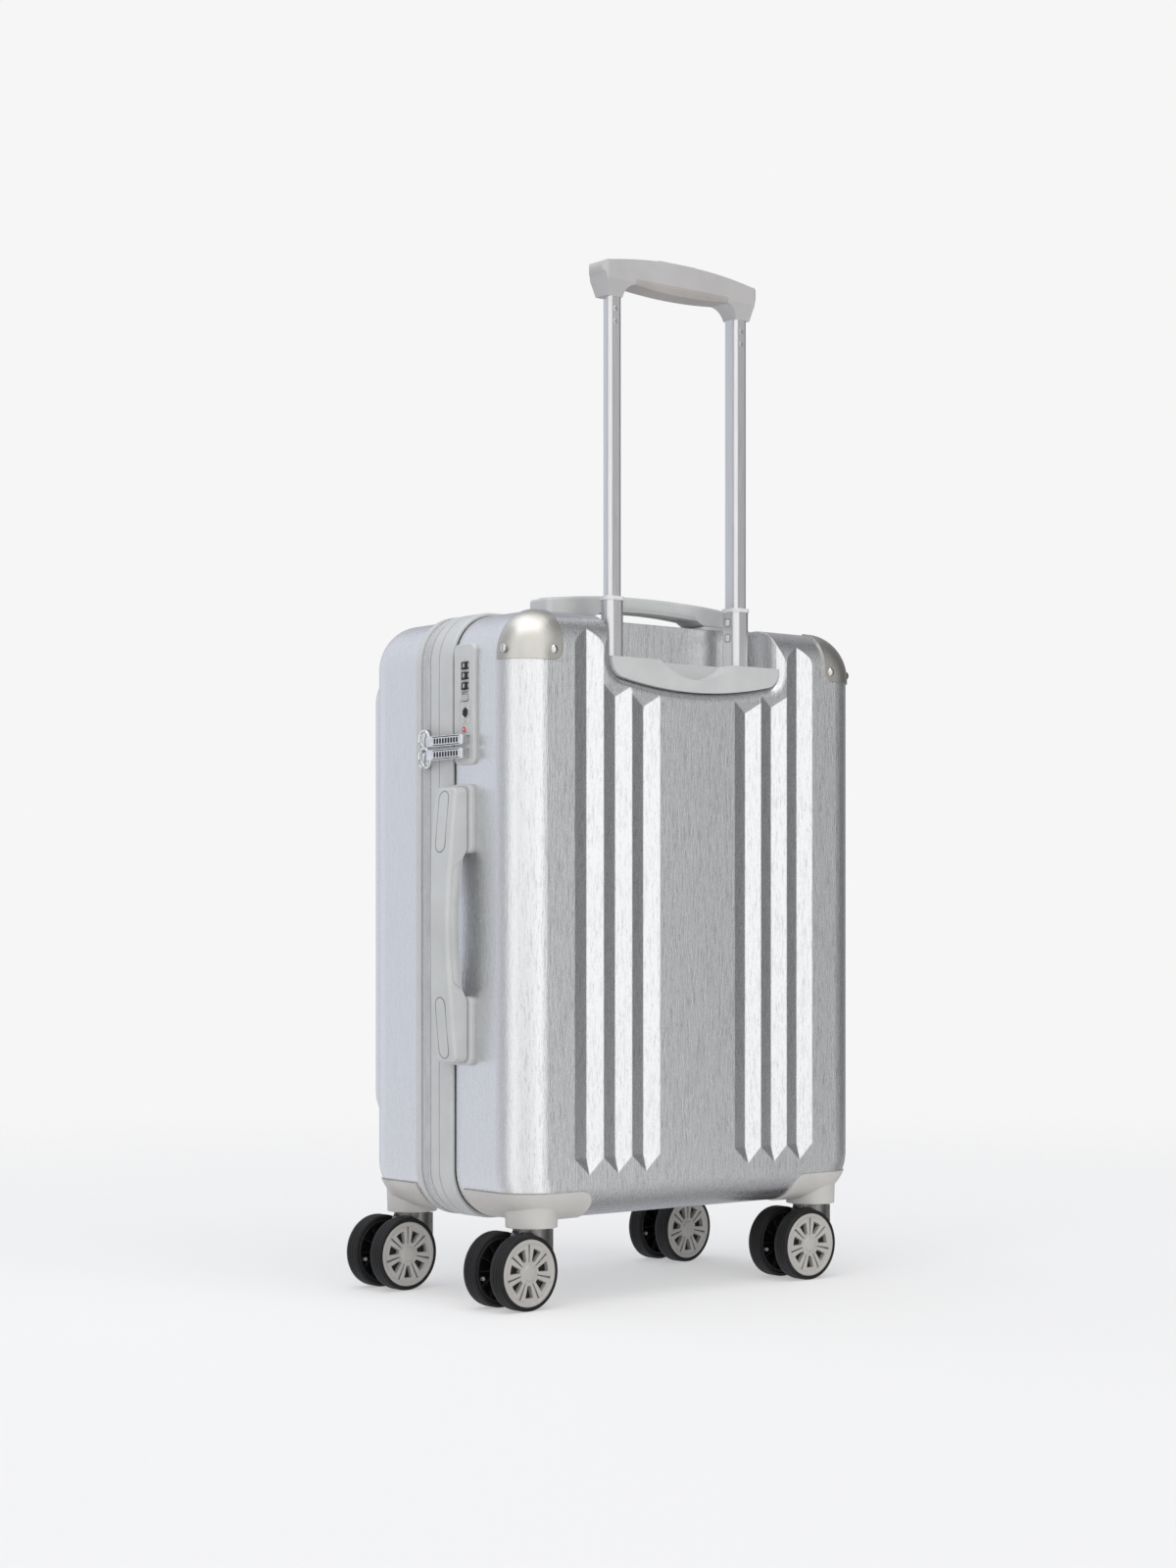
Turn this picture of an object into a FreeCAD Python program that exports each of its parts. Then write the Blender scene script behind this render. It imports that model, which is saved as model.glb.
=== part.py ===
"""Hard-shell cabin suitcase on four twin-wheel casters, modelled in millimetres.

+Z is up and the floor is z = 0. +Y is the back face, which carries the trolley handle.
+X is the side with the zip sliders, the lock and the carry handle; the lid hinges on the -X side.
Shapes are drawn about the middle of the case body, then every solid is moved by (SHIFT_X, SHIFT_Y)
so that the origin is on the floor under the middle of the overall box.
"""
import FreeCAD
import Part
import math
import os

V = FreeCAD.Vector

# overall placement
SHIFT_X = -10.0
SHIFT_Y = -1.15

# case body
CASE_W = 360.0
CASE_Y = 104.0
LID_FACE = 97.5
CASE_Z0 = 66.0
CASE_Z1 = 533.0
CORNER_R = 37.0
EDGE_R = 28.0
WALL = 2.5

# frame round the sides, proud of the shells, with its stations along Y
FRAME_PROUD = 3.0
LID_SHELL_Y = -24.3
ZIP_FRONT_Y = -16.6
ZIP_SPLIT_Y = -8.1
ZIP_BACK_Y = -2.9
SEAM_Y = 7.6
BAND_Y = 24.0
BACK_SHELL_Y = 25.5
BAND_T = 4.0
TAPE_INSET = 0.6
TAPE_T = 2.2
ZIP_GAP = 0.3

# raised panel on the lid
PANEL_HALF_W = 169.0
PANEL_Z0 = 127.0
PANEL_Z1 = 501.0
PANEL_T = 7.0
PANEL_CORNER_R = 30.0
PANEL_EDGE_R = 8.0

# V-shaped flutes in the shells
FLUTE_HALF = 14.3
FLUTE_DEPTH = 3.8
FLUTE_X = (53.8, 82.4, 111.0)
FLUTE_LOW = 100.0
FLUTE_TIP = 13.0
FLUTE_TOPS = (462.4, 468.6, 575.0)
FLUTE_SLOPE = 9.0

# trolley recess at the top of the back shell
RECESS_Y = 58.0
RECESS_HALF_W = 88.0
RECESS_ARC_Z = 476.0
RECESS_ARC_R = 369.0
RECESS_CORNER_R = 14.0
RECESS_ROLL_R = 8.5
BEZEL_TOP = 500.0
SCOOP_R = 60.0
SCOOP_DEPTH = 14.0

# trolley tubes: a flat back and inner side, and a slanted outer side
TUBE_X = 67.5
TUBE_Y = 75.0
TUBE_W = 15.6
TUBE_D = 14.1
TUBE_SLANT = 7.5
TUBE_R = 3.2
TUBE_WALL = 1.4
TUBE_STEP = 1.8
UPPER_Z = (360.0, 784.5)
MIDDLE_Z = (123.0, 549.0)
OUTER_Z = (73.5, 498.0)
COLLAR_Z = (546.5, 549.5)

# trolley grip
GRIP_TOP = 818.0
GRIP_END_X = 81.0
GRIP_DEPTH = 11.0
INSERT_HALF_W = 49.0
BUTTON_HALF_W = 21.0
RIVET_Z = (765.0, 775.0)
RIVET_X = 66.5

# carry handles, in a local frame with the case surface at z = 0
HANDLE_HALF_L = 105.5
HANDLE_HALF_W = 13.3
HANDLE_WAIST = 2.3
HANDLE_TOP = 23.0
HANDLE_END_TOP = 16.0
HANDLE_Y = 33.0
SIDE_HANDLE_Z = 292.0
MOUNT_X = (55.0, 108.0)
MOUNT_HALF_W = 17.0
MOUNT_H = 4.2
POST_X = 97.0
POST_R = 4.0
POST_CLEAR = 0.06
SOCKET_R = 6.5
SOCKET_DEPTH = 23.0

# combination lock on the +X side
LOCK_Y = (26.6, 52.5)
LOCK_Z = (415.0, 508.0)
LOCK_FACE = 183.0
LOCK_BODY_X = 167.0
LOCK_BODY_Z = (429.0, 501.0)
DIAL_Y = 41.0
DIAL_X = 177.2
DIAL_R = 7.0
DIAL_T = 5.0
DIAL_Z = (491.0, 483.2, 475.4)
DIAL_PIN_R = 1.5
LOCK_BUTTON_Z = (463.8, 468.6)
KEY_Z = 455.0
KEY_Y = 41.5
KEY_R = 3.6

# zip sliders and their pulls
SLIDER_Y = -7.95
SLIDER_X = 182.9
SLIDER_Z = (434.0, 423.6)
SLIDER_REACH = (10.4, 3.6)
PULL_AXIS_X = 190.0
PULL_END_Y = 46.5
PULL_H = 8.4

# casters
CASTER_X = 147.5
CASTER_Y = 78.5
CASTER_TRAIL = 21.0
WHEEL_R = 29.0
WHEEL_W = 14.0
WHEEL_Y = 15.5
HUB_R = 25.9
HUB_BORE = 2.55
AXLE_R = 2.5
STEM_R = 5.0
STEM_TOP = 68.5
BOSS_Z = 61.0
BOSS_R = 20.0
FORK_R = 14.5
FORK_WEB = 6.5
CASTER_TURN = {"back_a": 3.0, "back_b": 0.0, "front_a": 2.5, "front_b": 6.0}
HOUSING_X = 106.0
HOUSING_Y = 31.0
HOUSING_Z = 88.0
HOUSING_PROUD = 1.2

# corner guards on the back shell
GUARD_X = 138.0
GUARD_Y = 78.5
GUARD_Z = 493.0
GUARD_PROUD = 1.2

# lining
LINING_INSET = 4.9
LINING_T = 1.2
LINING_BACK_Y = 64.0
LINING_STEP_Y = 53.0
LINING_STEP_Z = 448.0
LINING_FRONT_Y = -93.6


def box(x0, x1, y0, y1, z0, z1):
    return Part.makeBox(x1 - x0, y1 - y0, z1 - z0, V(x0, y0, z0))


def cylinder(radius, start, end):
    axis = V(*end) - V(*start)
    return Part.makeCylinder(radius, axis.Length, V(*start), axis)


def fuse(shapes):
    shapes = list(shapes)
    return shapes[0].fuse(shapes[1:]).removeSplitter()


def cut(shape, tools):
    return shape.cut(list(tools))


def mirrored(shape, x=False, y=False):
    if x:
        shape = shape.mirror(V(0, 0, 0), V(1, 0, 0))
    if y:
        shape = shape.mirror(V(0, 0, 0), V(0, 1, 0))
    return shape


def edges_along(shape, axis):
    """Straight edges of the shape that run along the axis."""
    found = []
    for edge in shape.Edges:
        if edge.Curve.TypeId != "Part::GeomLine":
            continue
        if abs(edge.tangentAt(edge.FirstParameter).dot(axis)) > 0.999:
            found.append(edge)
    return found


def edges_on_plane(shape, axis, level):
    """Edges that lie wholly on the plane axis = level."""
    found = []
    for edge in shape.Edges:
        span = edge.BoundBox
        low = {"x": span.XMin, "y": span.YMin, "z": span.ZMin}[axis]
        high = {"x": span.XMax, "y": span.YMax, "z": span.ZMax}[axis]
        if abs(low - level) < 0.01 and abs(high - level) < 0.01:
            found.append(edge)
    return found


def soft_box(x0, x1, y0, y1, z0, z1, radius, axis):
    """A box with its four edges along one axis rounded."""
    block = box(x0, x1, y0, y1, z0, z1)
    return block.makeFillet(radius, edges_along(block, axis))


def solid_from_faces(faces):
    """A closed solid from flat faces, each given as a list of points."""
    made = [Part.Face(Part.makePolygon(list(points) + [points[0]])) for points in faces]
    solid = Part.Solid(Part.makeShell(made))
    if solid.Volume < 0:
        solid.reverse()
    return solid


def case_prism(y0, y1, inset):
    """The outline of the case in front view, inset all round and extruded along Y."""
    half = CASE_W / 2 - inset
    return soft_box(-half, half, y0, y1, CASE_Z0 + inset, CASE_Z1 - inset, CORNER_R - inset, V(0, 1, 0))


def case_half(y_open, y_closed, inset):
    """Half a case: the outline extruded from the open rim to a closed face with a rounded rim."""
    prism = case_prism(min(y_open, y_closed), max(y_open, y_closed), inset)
    return prism.makeFillet(EDGE_R - inset, edges_on_plane(prism, "y", y_closed))


def case_ring(y0, y1, inset, thickness):
    return case_prism(y0, y1, inset).cut(case_prism(y0 - 1, y1 + 1, inset + thickness))


def frame_ring(y0, y1, thickness, round_y):
    """A ring of the proud frame, with its outer edge at round_y rounded."""
    outer = case_prism(y0, y1, -FRAME_PROUD)
    outer = outer.makeFillet(1.8, edges_on_plane(outer, "y", round_y))
    return outer.cut(case_prism(y0 - 1, y1 + 1, thickness))


def flute(x, z_low, z_high, y_face, top_slope):
    """Cutter for one V-shaped flute: a pointed low end and a top end that slopes out or runs off."""
    rise = FLUTE_DEPTH + 1.0
    half = FLUTE_HALF * rise / FLUTE_DEPTH
    y_out = y_face + 1.0
    y_in = y_face - FLUTE_DEPTH
    z_bend = z_low + FLUTE_TIP
    z_tip = z_bend - FLUTE_TIP * rise / FLUTE_DEPTH
    z_out = z_high + top_slope * rise / FLUTE_DEPTH
    tip = V(x, y_out, z_tip)
    low = [V(x - half, y_out, z_bend), V(x, y_in, z_bend), V(x + half, y_out, z_bend)]
    top = [V(x - half, y_out, z_out), V(x, y_in, z_high), V(x + half, y_out, z_out)]
    return solid_from_faces([
        [low[0], low[1], tip],
        [low[1], low[2], tip],
        [low[2], low[0], tip],
        [low[0], low[1], top[1], top[0]],
        [low[1], low[2], top[2], top[1]],
        [low[2], low[0], top[0], top[2]],
        top,
    ])


def back_flutes(inset):
    cutters = []
    for x, top in zip(FLUTE_X, FLUTE_TOPS):
        slope = FLUTE_SLOPE if top < CASE_Z1 else 0.1
        for side in (1, -1):
            cutters.append(flute(side * x, FLUTE_LOW, top, CASE_Y - inset, slope))
    return cutters


def lid_flutes(inset):
    """Flutes of the lid's raised panel, pointed at the low end and sloped at the top."""
    cutters = []
    for x in FLUTE_X:
        for side in (1, -1):
            cutter = flute(side * x, PANEL_Z0 + 22, PANEL_Z1 - 32, LID_FACE + PANEL_T - inset, FLUTE_SLOPE)
            cutters.append(mirrored(cutter, y=True))
    return cutters


def recess(y0, y1, grow):
    """The U-shaped trolley recess: straight sides, a shallow arc below, open at the top."""
    half = RECESS_HALF_W + grow
    block = box(-half, half, y0, y1, RECESS_ARC_Z - 12, CASE_Z1 + 30)
    centre = RECESS_ARC_Z + RECESS_ARC_R
    drum = cylinder(RECESS_ARC_R + grow, (0, y0, centre), (0, y1, centre))
    pocket = block.common(drum)
    low = [e for e in edges_along(pocket, V(0, 1, 0)) if e.BoundBox.ZMax < CASE_Z1]
    return pocket.makeFillet(RECESS_CORNER_R + grow, low)


def recess_outline(y, grow):
    """Wire round the recess opening at one depth."""
    pocket = recess(y, y + 10, grow)
    for face in pocket.Faces:
        if face.BoundBox.YMax - y < 0.01:
            return face.OuterWire
    raise ValueError("no recess face at that depth")


def recess_cutters(grow):
    """The pocket and the rolled rim round its mouth."""
    radius = RECESS_ROLL_R
    rim = []
    for k in range(7):
        angle = math.radians(15 * k)
        out = radius * (1 - math.cos(angle))
        rim.append(recess_outline(CASE_Y - grow - radius + radius * math.sin(angle), out + grow))
    rim.append(recess_outline(CASE_Y - grow + 3, radius + grow))
    return [recess(RECESS_Y - grow, CASE_Y + 6, grow), Part.makeLoft(rim, True, True)]


def tube_outline(side, grow, z):
    """Outline of one trolley tube, grown by a parallel offset."""
    slope = TUBE_SLANT / TUBE_D
    lean = grow * math.sqrt(1 + slope * slope)
    back = TUBE_Y + TUBE_D / 2 + grow
    front = TUBE_Y - TUBE_D / 2 - grow
    inner = TUBE_X - TUBE_W / 2 - grow
    outer_back = TUBE_X + TUBE_W / 2 + lean + slope * grow
    outer_front = TUBE_X + TUBE_W / 2 - TUBE_SLANT + lean - slope * grow
    corners = [(inner, back), (outer_back, back), (outer_front, front), (inner, front)]
    return [V(side * x, y, z) for x, y in corners]


def tube(side, grow, z0, z1):
    """A solid bar with the tube's outline."""
    points = tube_outline(side, grow, z0)
    face = Part.Face(Part.makePolygon(points + [points[0]]))
    bar = face.extrude(V(0, 0, z1 - z0))
    return bar.makeFillet(TUBE_R + grow, edges_along(bar, V(0, 0, 1)))


def tube_pair(grow, z0, z1):
    return [tube(side, grow, z0, z1) for side in (1, -1)]


def hollow_pair(grow, z0, z1):
    tubes = []
    for side in (1, -1):
        inner = tube(side, grow - TUBE_WALL, z0 - 1, z1 + 1)
        tubes.append(tube(side, grow, z0, z1).cut(inner))
    return tubes


def arc_face(steps):
    """A flat face in the XZ plane from ('line', end) and ('arc', middle, end) steps."""
    start = steps[0]
    here = V(start[0], 0, start[1])
    edges = []
    for step in steps[1:]:
        points = [V(x, 0, z) for x, z in step]
        if len(points) == 1:
            edges.append(Part.LineSegment(here, points[0]).toShape())
        else:
            edges.append(Part.Arc(here, points[0], points[1]).toShape())
        here = points[-1]
    return Part.Face(Part.Wire(edges))


def extrude_y(face, y0, y1):
    moved = face.copy()
    moved.translate(V(0, y0, 0))
    return moved.extrude(V(0, y1 - y0, 0))


def carry_handle():
    """Bowed carry handle with two posts, in its local frame."""
    end = HANDLE_HALF_L
    low = MOUNT_H + 0.6
    face = arc_face([
        (-end, low),
        ((-end, HANDLE_END_TOP),),
        ((0, HANDLE_TOP), (end, HANDLE_END_TOP)),
        ((end, low),),
        ((58.0, low),),
        ((50.0, low + 4.2),),
        ((0, low + 6.4), (-50.0, low + 4.2)),
        ((-58.0, low),),
        ((-end, low),),
    ])
    bar = extrude_y(face, -HANDLE_HALF_W, HANDLE_HALF_W)
    waist_r = (56.0 ** 2 + HANDLE_WAIST ** 2) / (2 * HANDLE_WAIST)
    for side in (1, -1):
        centre = side * (HANDLE_HALF_W - HANDLE_WAIST + waist_r)
        bar = bar.cut(cylinder(waist_r, (0, centre, -10), (0, centre, 60)))
    bar = bar.makeFillet(5.0, [edge for edge in edges_along(bar, V(0, 0, 1)) if abs(edge.BoundBox.XMin) > 90])
    bar = bar.makeFillet(2.6, [edge for edge in bar.Edges if edge.BoundBox.ZMin > HANDLE_END_TOP - 0.5])
    posts = []
    for side in (1, -1):
        foot = (side * POST_X, 0, 3.5 - SOCKET_DEPTH)
        posts.append(cylinder(POST_R, foot, (side * POST_X, 0, MOUNT_H + 6)))
    return fuse([bar] + posts)


def handle_mounts():
    """The two end mounts of a carry handle, each with a blind socket for the handle's post."""
    mounts = []
    for side in (1, -1):
        pad = soft_box(MOUNT_X[0], MOUNT_X[1], -MOUNT_HALF_W, MOUNT_HALF_W, 0, MOUNT_H, 6.0, V(0, 0, 1))
        pad = pad.makeFillet(1.4, edges_on_plane(pad, "z", MOUNT_H))
        socket = cylinder(SOCKET_R, (POST_X, 0, -SOCKET_DEPTH), (POST_X, 0, 1))
        bore = cylinder(POST_R + POST_CLEAR, (POST_X, 0, 2 - SOCKET_DEPTH), (POST_X, 0, MOUNT_H + 1))
        mount = fuse([pad, socket]).cut(bore)
        mounts.append(mirrored(mount, x=side < 0))
    return mounts


def on_top(shape):
    moved = shape.copy()
    moved.translate(V(0, HANDLE_Y, CASE_Z1))
    return moved


def on_side(shape):
    moved = shape.copy()
    moved.rotate(V(0, 0, 0), V(0, 1, 0), 90)
    moved.translate(V(CASE_W / 2, HANDLE_Y, SIDE_HANDLE_Z))
    return moved


def handle_sockets(grow):
    """Round bars where the handle sockets pass through the shells and lining."""
    bars = []
    for side in (1, -1):
        bar = cylinder(SOCKET_R + grow, (side * POST_X, 0, -SOCKET_DEPTH - grow), (side * POST_X, 0, 0))
        bars += [on_top(bar), on_side(bar)]
    return bars


def lock_body(grow):
    half = 8.5 + grow
    return box(LOCK_BODY_X - grow, CASE_W / 2, DIAL_Y - half, DIAL_Y + half,
               LOCK_BODY_Z[0] - grow, LOCK_BODY_Z[1] + grow)


def caster_centre(name):
    x = CASTER_X if name.endswith("a") else -CASTER_X
    y = CASTER_Y if name.startswith("back") else -CASTER_Y
    return x, y


def place_caster(shape, name):
    """Turn a caster drawn at the origin to its resting angle and move it under its housing."""
    x, y = caster_centre(name)
    moved = shape.copy()
    moved.rotate(V(0, 0, 0), V(0, 0, 1), CASTER_TURN[name])
    moved.translate(V(x, y, 0))
    return moved


def boss_bars(radius, z0, z1):
    bars = []
    for name in CASTER_TURN:
        x, y = caster_centre(name)
        bars.append(cylinder(radius, (x, y, z0), (x, y, z1)))
    return bars


def wheel_housing(side, face_y):
    """Moulded corner cap with a straight neck for the caster stem, drawn for a +Y corner."""
    skin = case_half(HOUSING_Y, face_y + HOUSING_PROUD, -HOUSING_PROUD)
    zone = box(HOUSING_X, 200, HOUSING_Y, 120, 50, HOUSING_Z)
    zone = zone.makeFillet(12.0, [e for e in edges_along(zone, V(0, 1, 0))
                                  if e.BoundBox.XMax < 150 and e.BoundBox.ZMin > 80])
    cap = skin.common(zone)
    neck = Part.makeCone(BOSS_R, BOSS_R + 0.8, HOUSING_Z - BOSS_Z, V(CASTER_X, CASTER_Y, BOSS_Z))
    neck = neck.common(box(100, 200, 0, face_y + HOUSING_PROUD, 50, 100))
    outside = fuse([cap, neck]).cut(case_half(HOUSING_Y - 5, face_y, 0))
    socket = cylinder(11.0, (CASTER_X, CASTER_Y, BOSS_Z + 1), (CASTER_X, CASTER_Y, STEM_TOP + 2))
    bore = cylinder(STEM_R + 0.05, (CASTER_X, CASTER_Y, BOSS_Z - 1), (CASTER_X, CASTER_Y, STEM_TOP + 0.6))
    return mirrored(fuse([outside, socket]).cut(bore), x=side < 0)


def caster_fork():
    """Swivelling fork: stem, round barrel and a web that carries the axle between the wheels."""
    stem = cylinder(STEM_R, (0, 0, BOSS_Z - 2), (0, 0, STEM_TOP))
    barrel = cylinder(FORK_R, (0, 0, 34), (0, 0, BOSS_Z - 0.5))
    web = extrude_y(arc_face([
        (-12.0, BOSS_Z - 0.5),
        ((12.0, BOSS_Z - 0.5),),
        ((CASTER_TRAIL + 8, WHEEL_R + 6),),
        ((CASTER_TRAIL + 9, WHEEL_R - 6), (CASTER_TRAIL, WHEEL_R - 9.5)),
        ((-4.0, 31.0),),
        ((-12.0, BOSS_Z - 0.5),),
    ]), -FORK_WEB, FORK_WEB)
    body = fuse([barrel, web])
    wheel_zone = WHEEL_R + 1.4
    for side in (1, -1):
        start = (CASTER_TRAIL, side * FORK_WEB, WHEEL_R)
        body = body.cut(cylinder(wheel_zone, start, (CASTER_TRAIL, side * 40, WHEEL_R)))
    rear_ribs = []
    for offset in (-7.5, -2.5, 2.5, 7.5):
        rear_ribs.append(box(-FORK_R - 0.6, -9.0, offset - 0.6, offset + 0.6, 36, BOSS_Z - 2))
    body = fuse([body, stem] + rear_ribs)
    bore = cylinder(AXLE_R, (CASTER_TRAIL, -20, WHEEL_R), (CASTER_TRAIL, 20, WHEEL_R))
    return body.cut(bore)


def caster_axle():
    half = WHEEL_Y + WHEEL_W / 2 - 4.0
    pin = cylinder(AXLE_R, (CASTER_TRAIL, -half, WHEEL_R), (CASTER_TRAIL, half, WHEEL_R))
    return pin.makeChamfer(0.4, pin.Edges[:1] + pin.Edges[2:3])


def wheel_tyre():
    """Tyre about its own centre, axle along Y."""
    half = WHEEL_W / 2
    tyre = cylinder(WHEEL_R, (0, -half, 0), (0, half, 0))
    tyre = tyre.makeFillet(2.2, edges_on_plane(tyre, "y", half) + edges_on_plane(tyre, "y", -half))
    return tyre.cut(cylinder(HUB_R, (0, -half - 1, 0), (0, half + 1, 0)))


def wheel_hub():
    """Hub with a dished outer (+Y) face round its centre cap and a hollow inner face."""
    half = WHEEL_W / 2
    hub = cylinder(HUB_R, (0, -half, 0), (0, half, 0))
    dish = cylinder(HUB_R - 3.0, (0, half - 1.2, 0), (0, half + 1, 0))
    dish = dish.cut(cylinder(6.0, (0, half - 2, 0), (0, half + 2, 0)))
    hollow = cylinder(HUB_R - 2.5, (0, -half - 1, 0), (0, 0, 0))
    hollow = hollow.cut(cylinder(7.0, (0, -half - 2, 0), (0, 1, 0)))
    bore = cylinder(HUB_BORE, (0, -half - 1, 0), (0, half - 3.5, 0))
    return cut(hub, [dish, hollow, bore])


def place_wheel(shape, name, side):
    wheel = shape.copy()
    if side < 0:
        wheel.rotate(V(0, 0, 0), V(0, 0, 1), 180)
    wheel.translate(V(CASTER_TRAIL, side * WHEEL_Y, WHEEL_R))
    return place_caster(wheel, name)


def grip_solid():
    """Arched trolley grip with flared legs that narrow to the tube outline."""
    inner = TUBE_X - TUBE_W / 2
    outer = TUBE_X + TUBE_W / 2
    leg = UPPER_Z[1]
    face = arc_face([
        (-outer, leg),
        ((-outer - 1.4, leg + 8.0), (-GRIP_END_X + 2, leg + 17.0)),
        ((-GRIP_END_X - 0.4, leg + 22.6), (-GRIP_END_X + 6, leg + 27.0)),
        ((0, GRIP_TOP), (GRIP_END_X - 6, leg + 27.0)),
        ((GRIP_END_X + 0.4, leg + 22.6), (GRIP_END_X - 2, leg + 17.0)),
        ((outer + 1.4, leg + 8.0), (outer, leg)),
        ((inner, leg),),
        ((inner - 3.4, leg + 7.6), (inner - 12, leg + 11.0)),
        ((0, leg + 8.5), (-inner + 12, leg + 11.0)),
        ((-inner + 3.4, leg + 7.6), (-inner, leg)),
        ((-outer, leg),),
    ])
    block = extrude_y(face, TUBE_Y - GRIP_DEPTH, TUBE_Y + GRIP_DEPTH)
    half = TUBE_D / 2
    low = leg - 1
    profile = [V(-100, TUBE_Y - half, low), V(-100, TUBE_Y - GRIP_DEPTH, leg + 13),
               V(-100, TUBE_Y - GRIP_DEPTH, GRIP_TOP + 5), V(-100, TUBE_Y + GRIP_DEPTH, GRIP_TOP + 5),
               V(-100, TUBE_Y + GRIP_DEPTH, leg + 13), V(-100, TUBE_Y + half, low)]
    envelope = Part.Face(Part.makePolygon(profile + [profile[0]])).extrude(V(200, 0, 0))
    envelope = envelope.makeFillet(7.0, [e for e in edges_along(envelope, V(1, 0, 0))
                                         if e.BoundBox.ZMin > GRIP_TOP])
    plan = soft_box(-GRIP_END_X - 1, GRIP_END_X + 1, TUBE_Y - GRIP_DEPTH, TUBE_Y + GRIP_DEPTH, low, GRIP_TOP + 5,
                    6.0, V(0, 0, 1))
    return block.common(envelope).common(plan)


def guard(side):
    """Pressed metal cap over a top corner of the back shell."""
    skin = case_half(GUARD_Y - 20, CASE_Y + GUARD_PROUD, -GUARD_PROUD)
    zone = box(GUARD_X, 200, GUARD_Y, 120, GUARD_Z, 560)
    zone = zone.makeFillet(9.0, [e for e in edges_along(zone, V(0, 1, 0)) if e.BoundBox.XMax < 150])
    cap = skin.common(zone).cut(case_half(GUARD_Y - 30, CASE_Y, 0))
    return mirrored(cap, x=side < 0)


def guard_screws():
    screws = []
    for side in (1, -1):
        back = (side * (GUARD_X + 8), CASE_Y + GUARD_PROUD, GUARD_Z + 8)
        flank = (side * (CASE_W / 2 + GUARD_PROUD), GUARD_Y + 8, GUARD_Z + 8)
        dome_back = Part.makeSphere(4.2, V(back[0], back[1] - 2.6, back[2]))
        dome_flank = Part.makeSphere(4.2, V(flank[0] - side * 2.6, flank[1], flank[2]))
        half_back = box(back[0] - 5, back[0] + 5, back[1], back[1] + 5, back[2] - 5, back[2] + 5)
        x0 = min(flank[0], flank[0] + side * 5)
        half_flank = box(x0, x0 + 5, flank[1] - 5, flank[1] + 5, flank[2] - 5, flank[2] + 5)
        screws += [dome_back.common(half_back), dome_flank.common(half_flank)]
    return screws


nodes = {}

# rigid shells
hinge_free = boss_bars(11.0, 55, 75)
back_outer = cut(case_half(BACK_SHELL_Y, CASE_Y, 0), back_flutes(0) + recess_cutters(0))
back_inner = cut(case_half(BACK_SHELL_Y - 2, CASE_Y - WALL, WALL), back_flutes(WALL) + recess_cutters(WALL))
outer_bars = tube_pair(2 * TUBE_STEP, OUTER_Z[0], OUTER_Z[1])
nodes["back_shell"] = cut(back_outer, [back_inner, lock_body(0)] + outer_bars + handle_sockets(0) + hinge_free)

panel_y = -LID_FACE - PANEL_T
panel = soft_box(-PANEL_HALF_W, PANEL_HALF_W, panel_y, -LID_FACE + 10, PANEL_Z0, PANEL_Z1,
                 PANEL_CORNER_R, V(0, 1, 0))
panel = panel.makeFillet(PANEL_EDGE_R, edges_on_plane(panel, "y", panel_y))
panel_in = soft_box(-PANEL_HALF_W + WALL, PANEL_HALF_W - WALL, panel_y + WALL, -LID_FACE + 10,
                    PANEL_Z0 + WALL, PANEL_Z1 - WALL, PANEL_CORNER_R - WALL, V(0, 1, 0))
panel_in = panel_in.makeFillet(PANEL_EDGE_R - WALL, edges_on_plane(panel_in, "y", panel_y + WALL))
lid_outer = cut(fuse([case_half(LID_SHELL_Y, -LID_FACE, 0), panel]), lid_flutes(0))
lid_inner = cut(fuse([case_half(LID_SHELL_Y + 2, -LID_FACE + WALL, WALL), panel_in]), lid_flutes(WALL))
nodes["front_shell"] = cut(lid_outer, [lid_inner] + hinge_free)

# bands and zip tapes
rim_tongue = case_ring(LID_SHELL_Y - 8, LID_SHELL_Y, WALL + 0.1, 1.8)
nodes["front_rim"] = fuse([frame_ring(LID_SHELL_Y, ZIP_FRONT_Y, BAND_T + 0.5, LID_SHELL_Y), rim_tongue])
nodes["zip_tape_front"] = case_ring(ZIP_FRONT_Y, ZIP_SPLIT_Y, TAPE_INSET - FRAME_PROUD, TAPE_T)
nodes["zip_tape_back"] = case_ring(ZIP_SPLIT_Y + ZIP_GAP, ZIP_BACK_Y, TAPE_INSET - FRAME_PROUD, TAPE_T)
band_tongue = case_ring(BAND_Y, BAND_Y + 7, WALL + 0.1, 1.8)
seam = case_ring(SEAM_Y - 0.4, SEAM_Y + 0.4, -FRAME_PROUD - 1, 1.6)
band = fuse([frame_ring(ZIP_BACK_Y, BAND_Y, BAND_T + 0.4, BAND_Y), band_tongue]).cut(seam)
nodes["back_frame_band"] = cut(band, handle_sockets(0))
hinge_x = -CASE_W / 2 + BAND_T + 0.5
nodes["lid_hinge_strip"] = box(hinge_x, hinge_x + 0.8, ZIP_SPLIT_Y + ZIP_GAP, 16, 110, 490)

# linings
lining = case_half(BACK_SHELL_Y + 9.5, LINING_BACK_Y, LINING_INSET)
hollow = case_half(BACK_SHELL_Y + 8.5, LINING_BACK_Y - LINING_T, LINING_INSET + LINING_T)
step = box(-135, 135, LINING_STEP_Y, 80, LINING_STEP_Z, 560)
step_in = box(-135 - LINING_T, 135 + LINING_T, LINING_STEP_Y - LINING_T, 80, LINING_STEP_Z - LINING_T, 560)
lining = cut(lining, [step]).cut(cut(hollow, [step_in]))
nodes["lining_back"] = cut(lining, [lock_body(0.4)] + handle_sockets(0.4))
lining = case_half(LID_SHELL_Y - 8.5, LINING_FRONT_Y, LINING_INSET)
nodes["lining_front"] = lining.cut(case_half(LID_SHELL_Y - 7.5, LINING_FRONT_Y + LINING_T, LINING_INSET + LINING_T))

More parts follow.
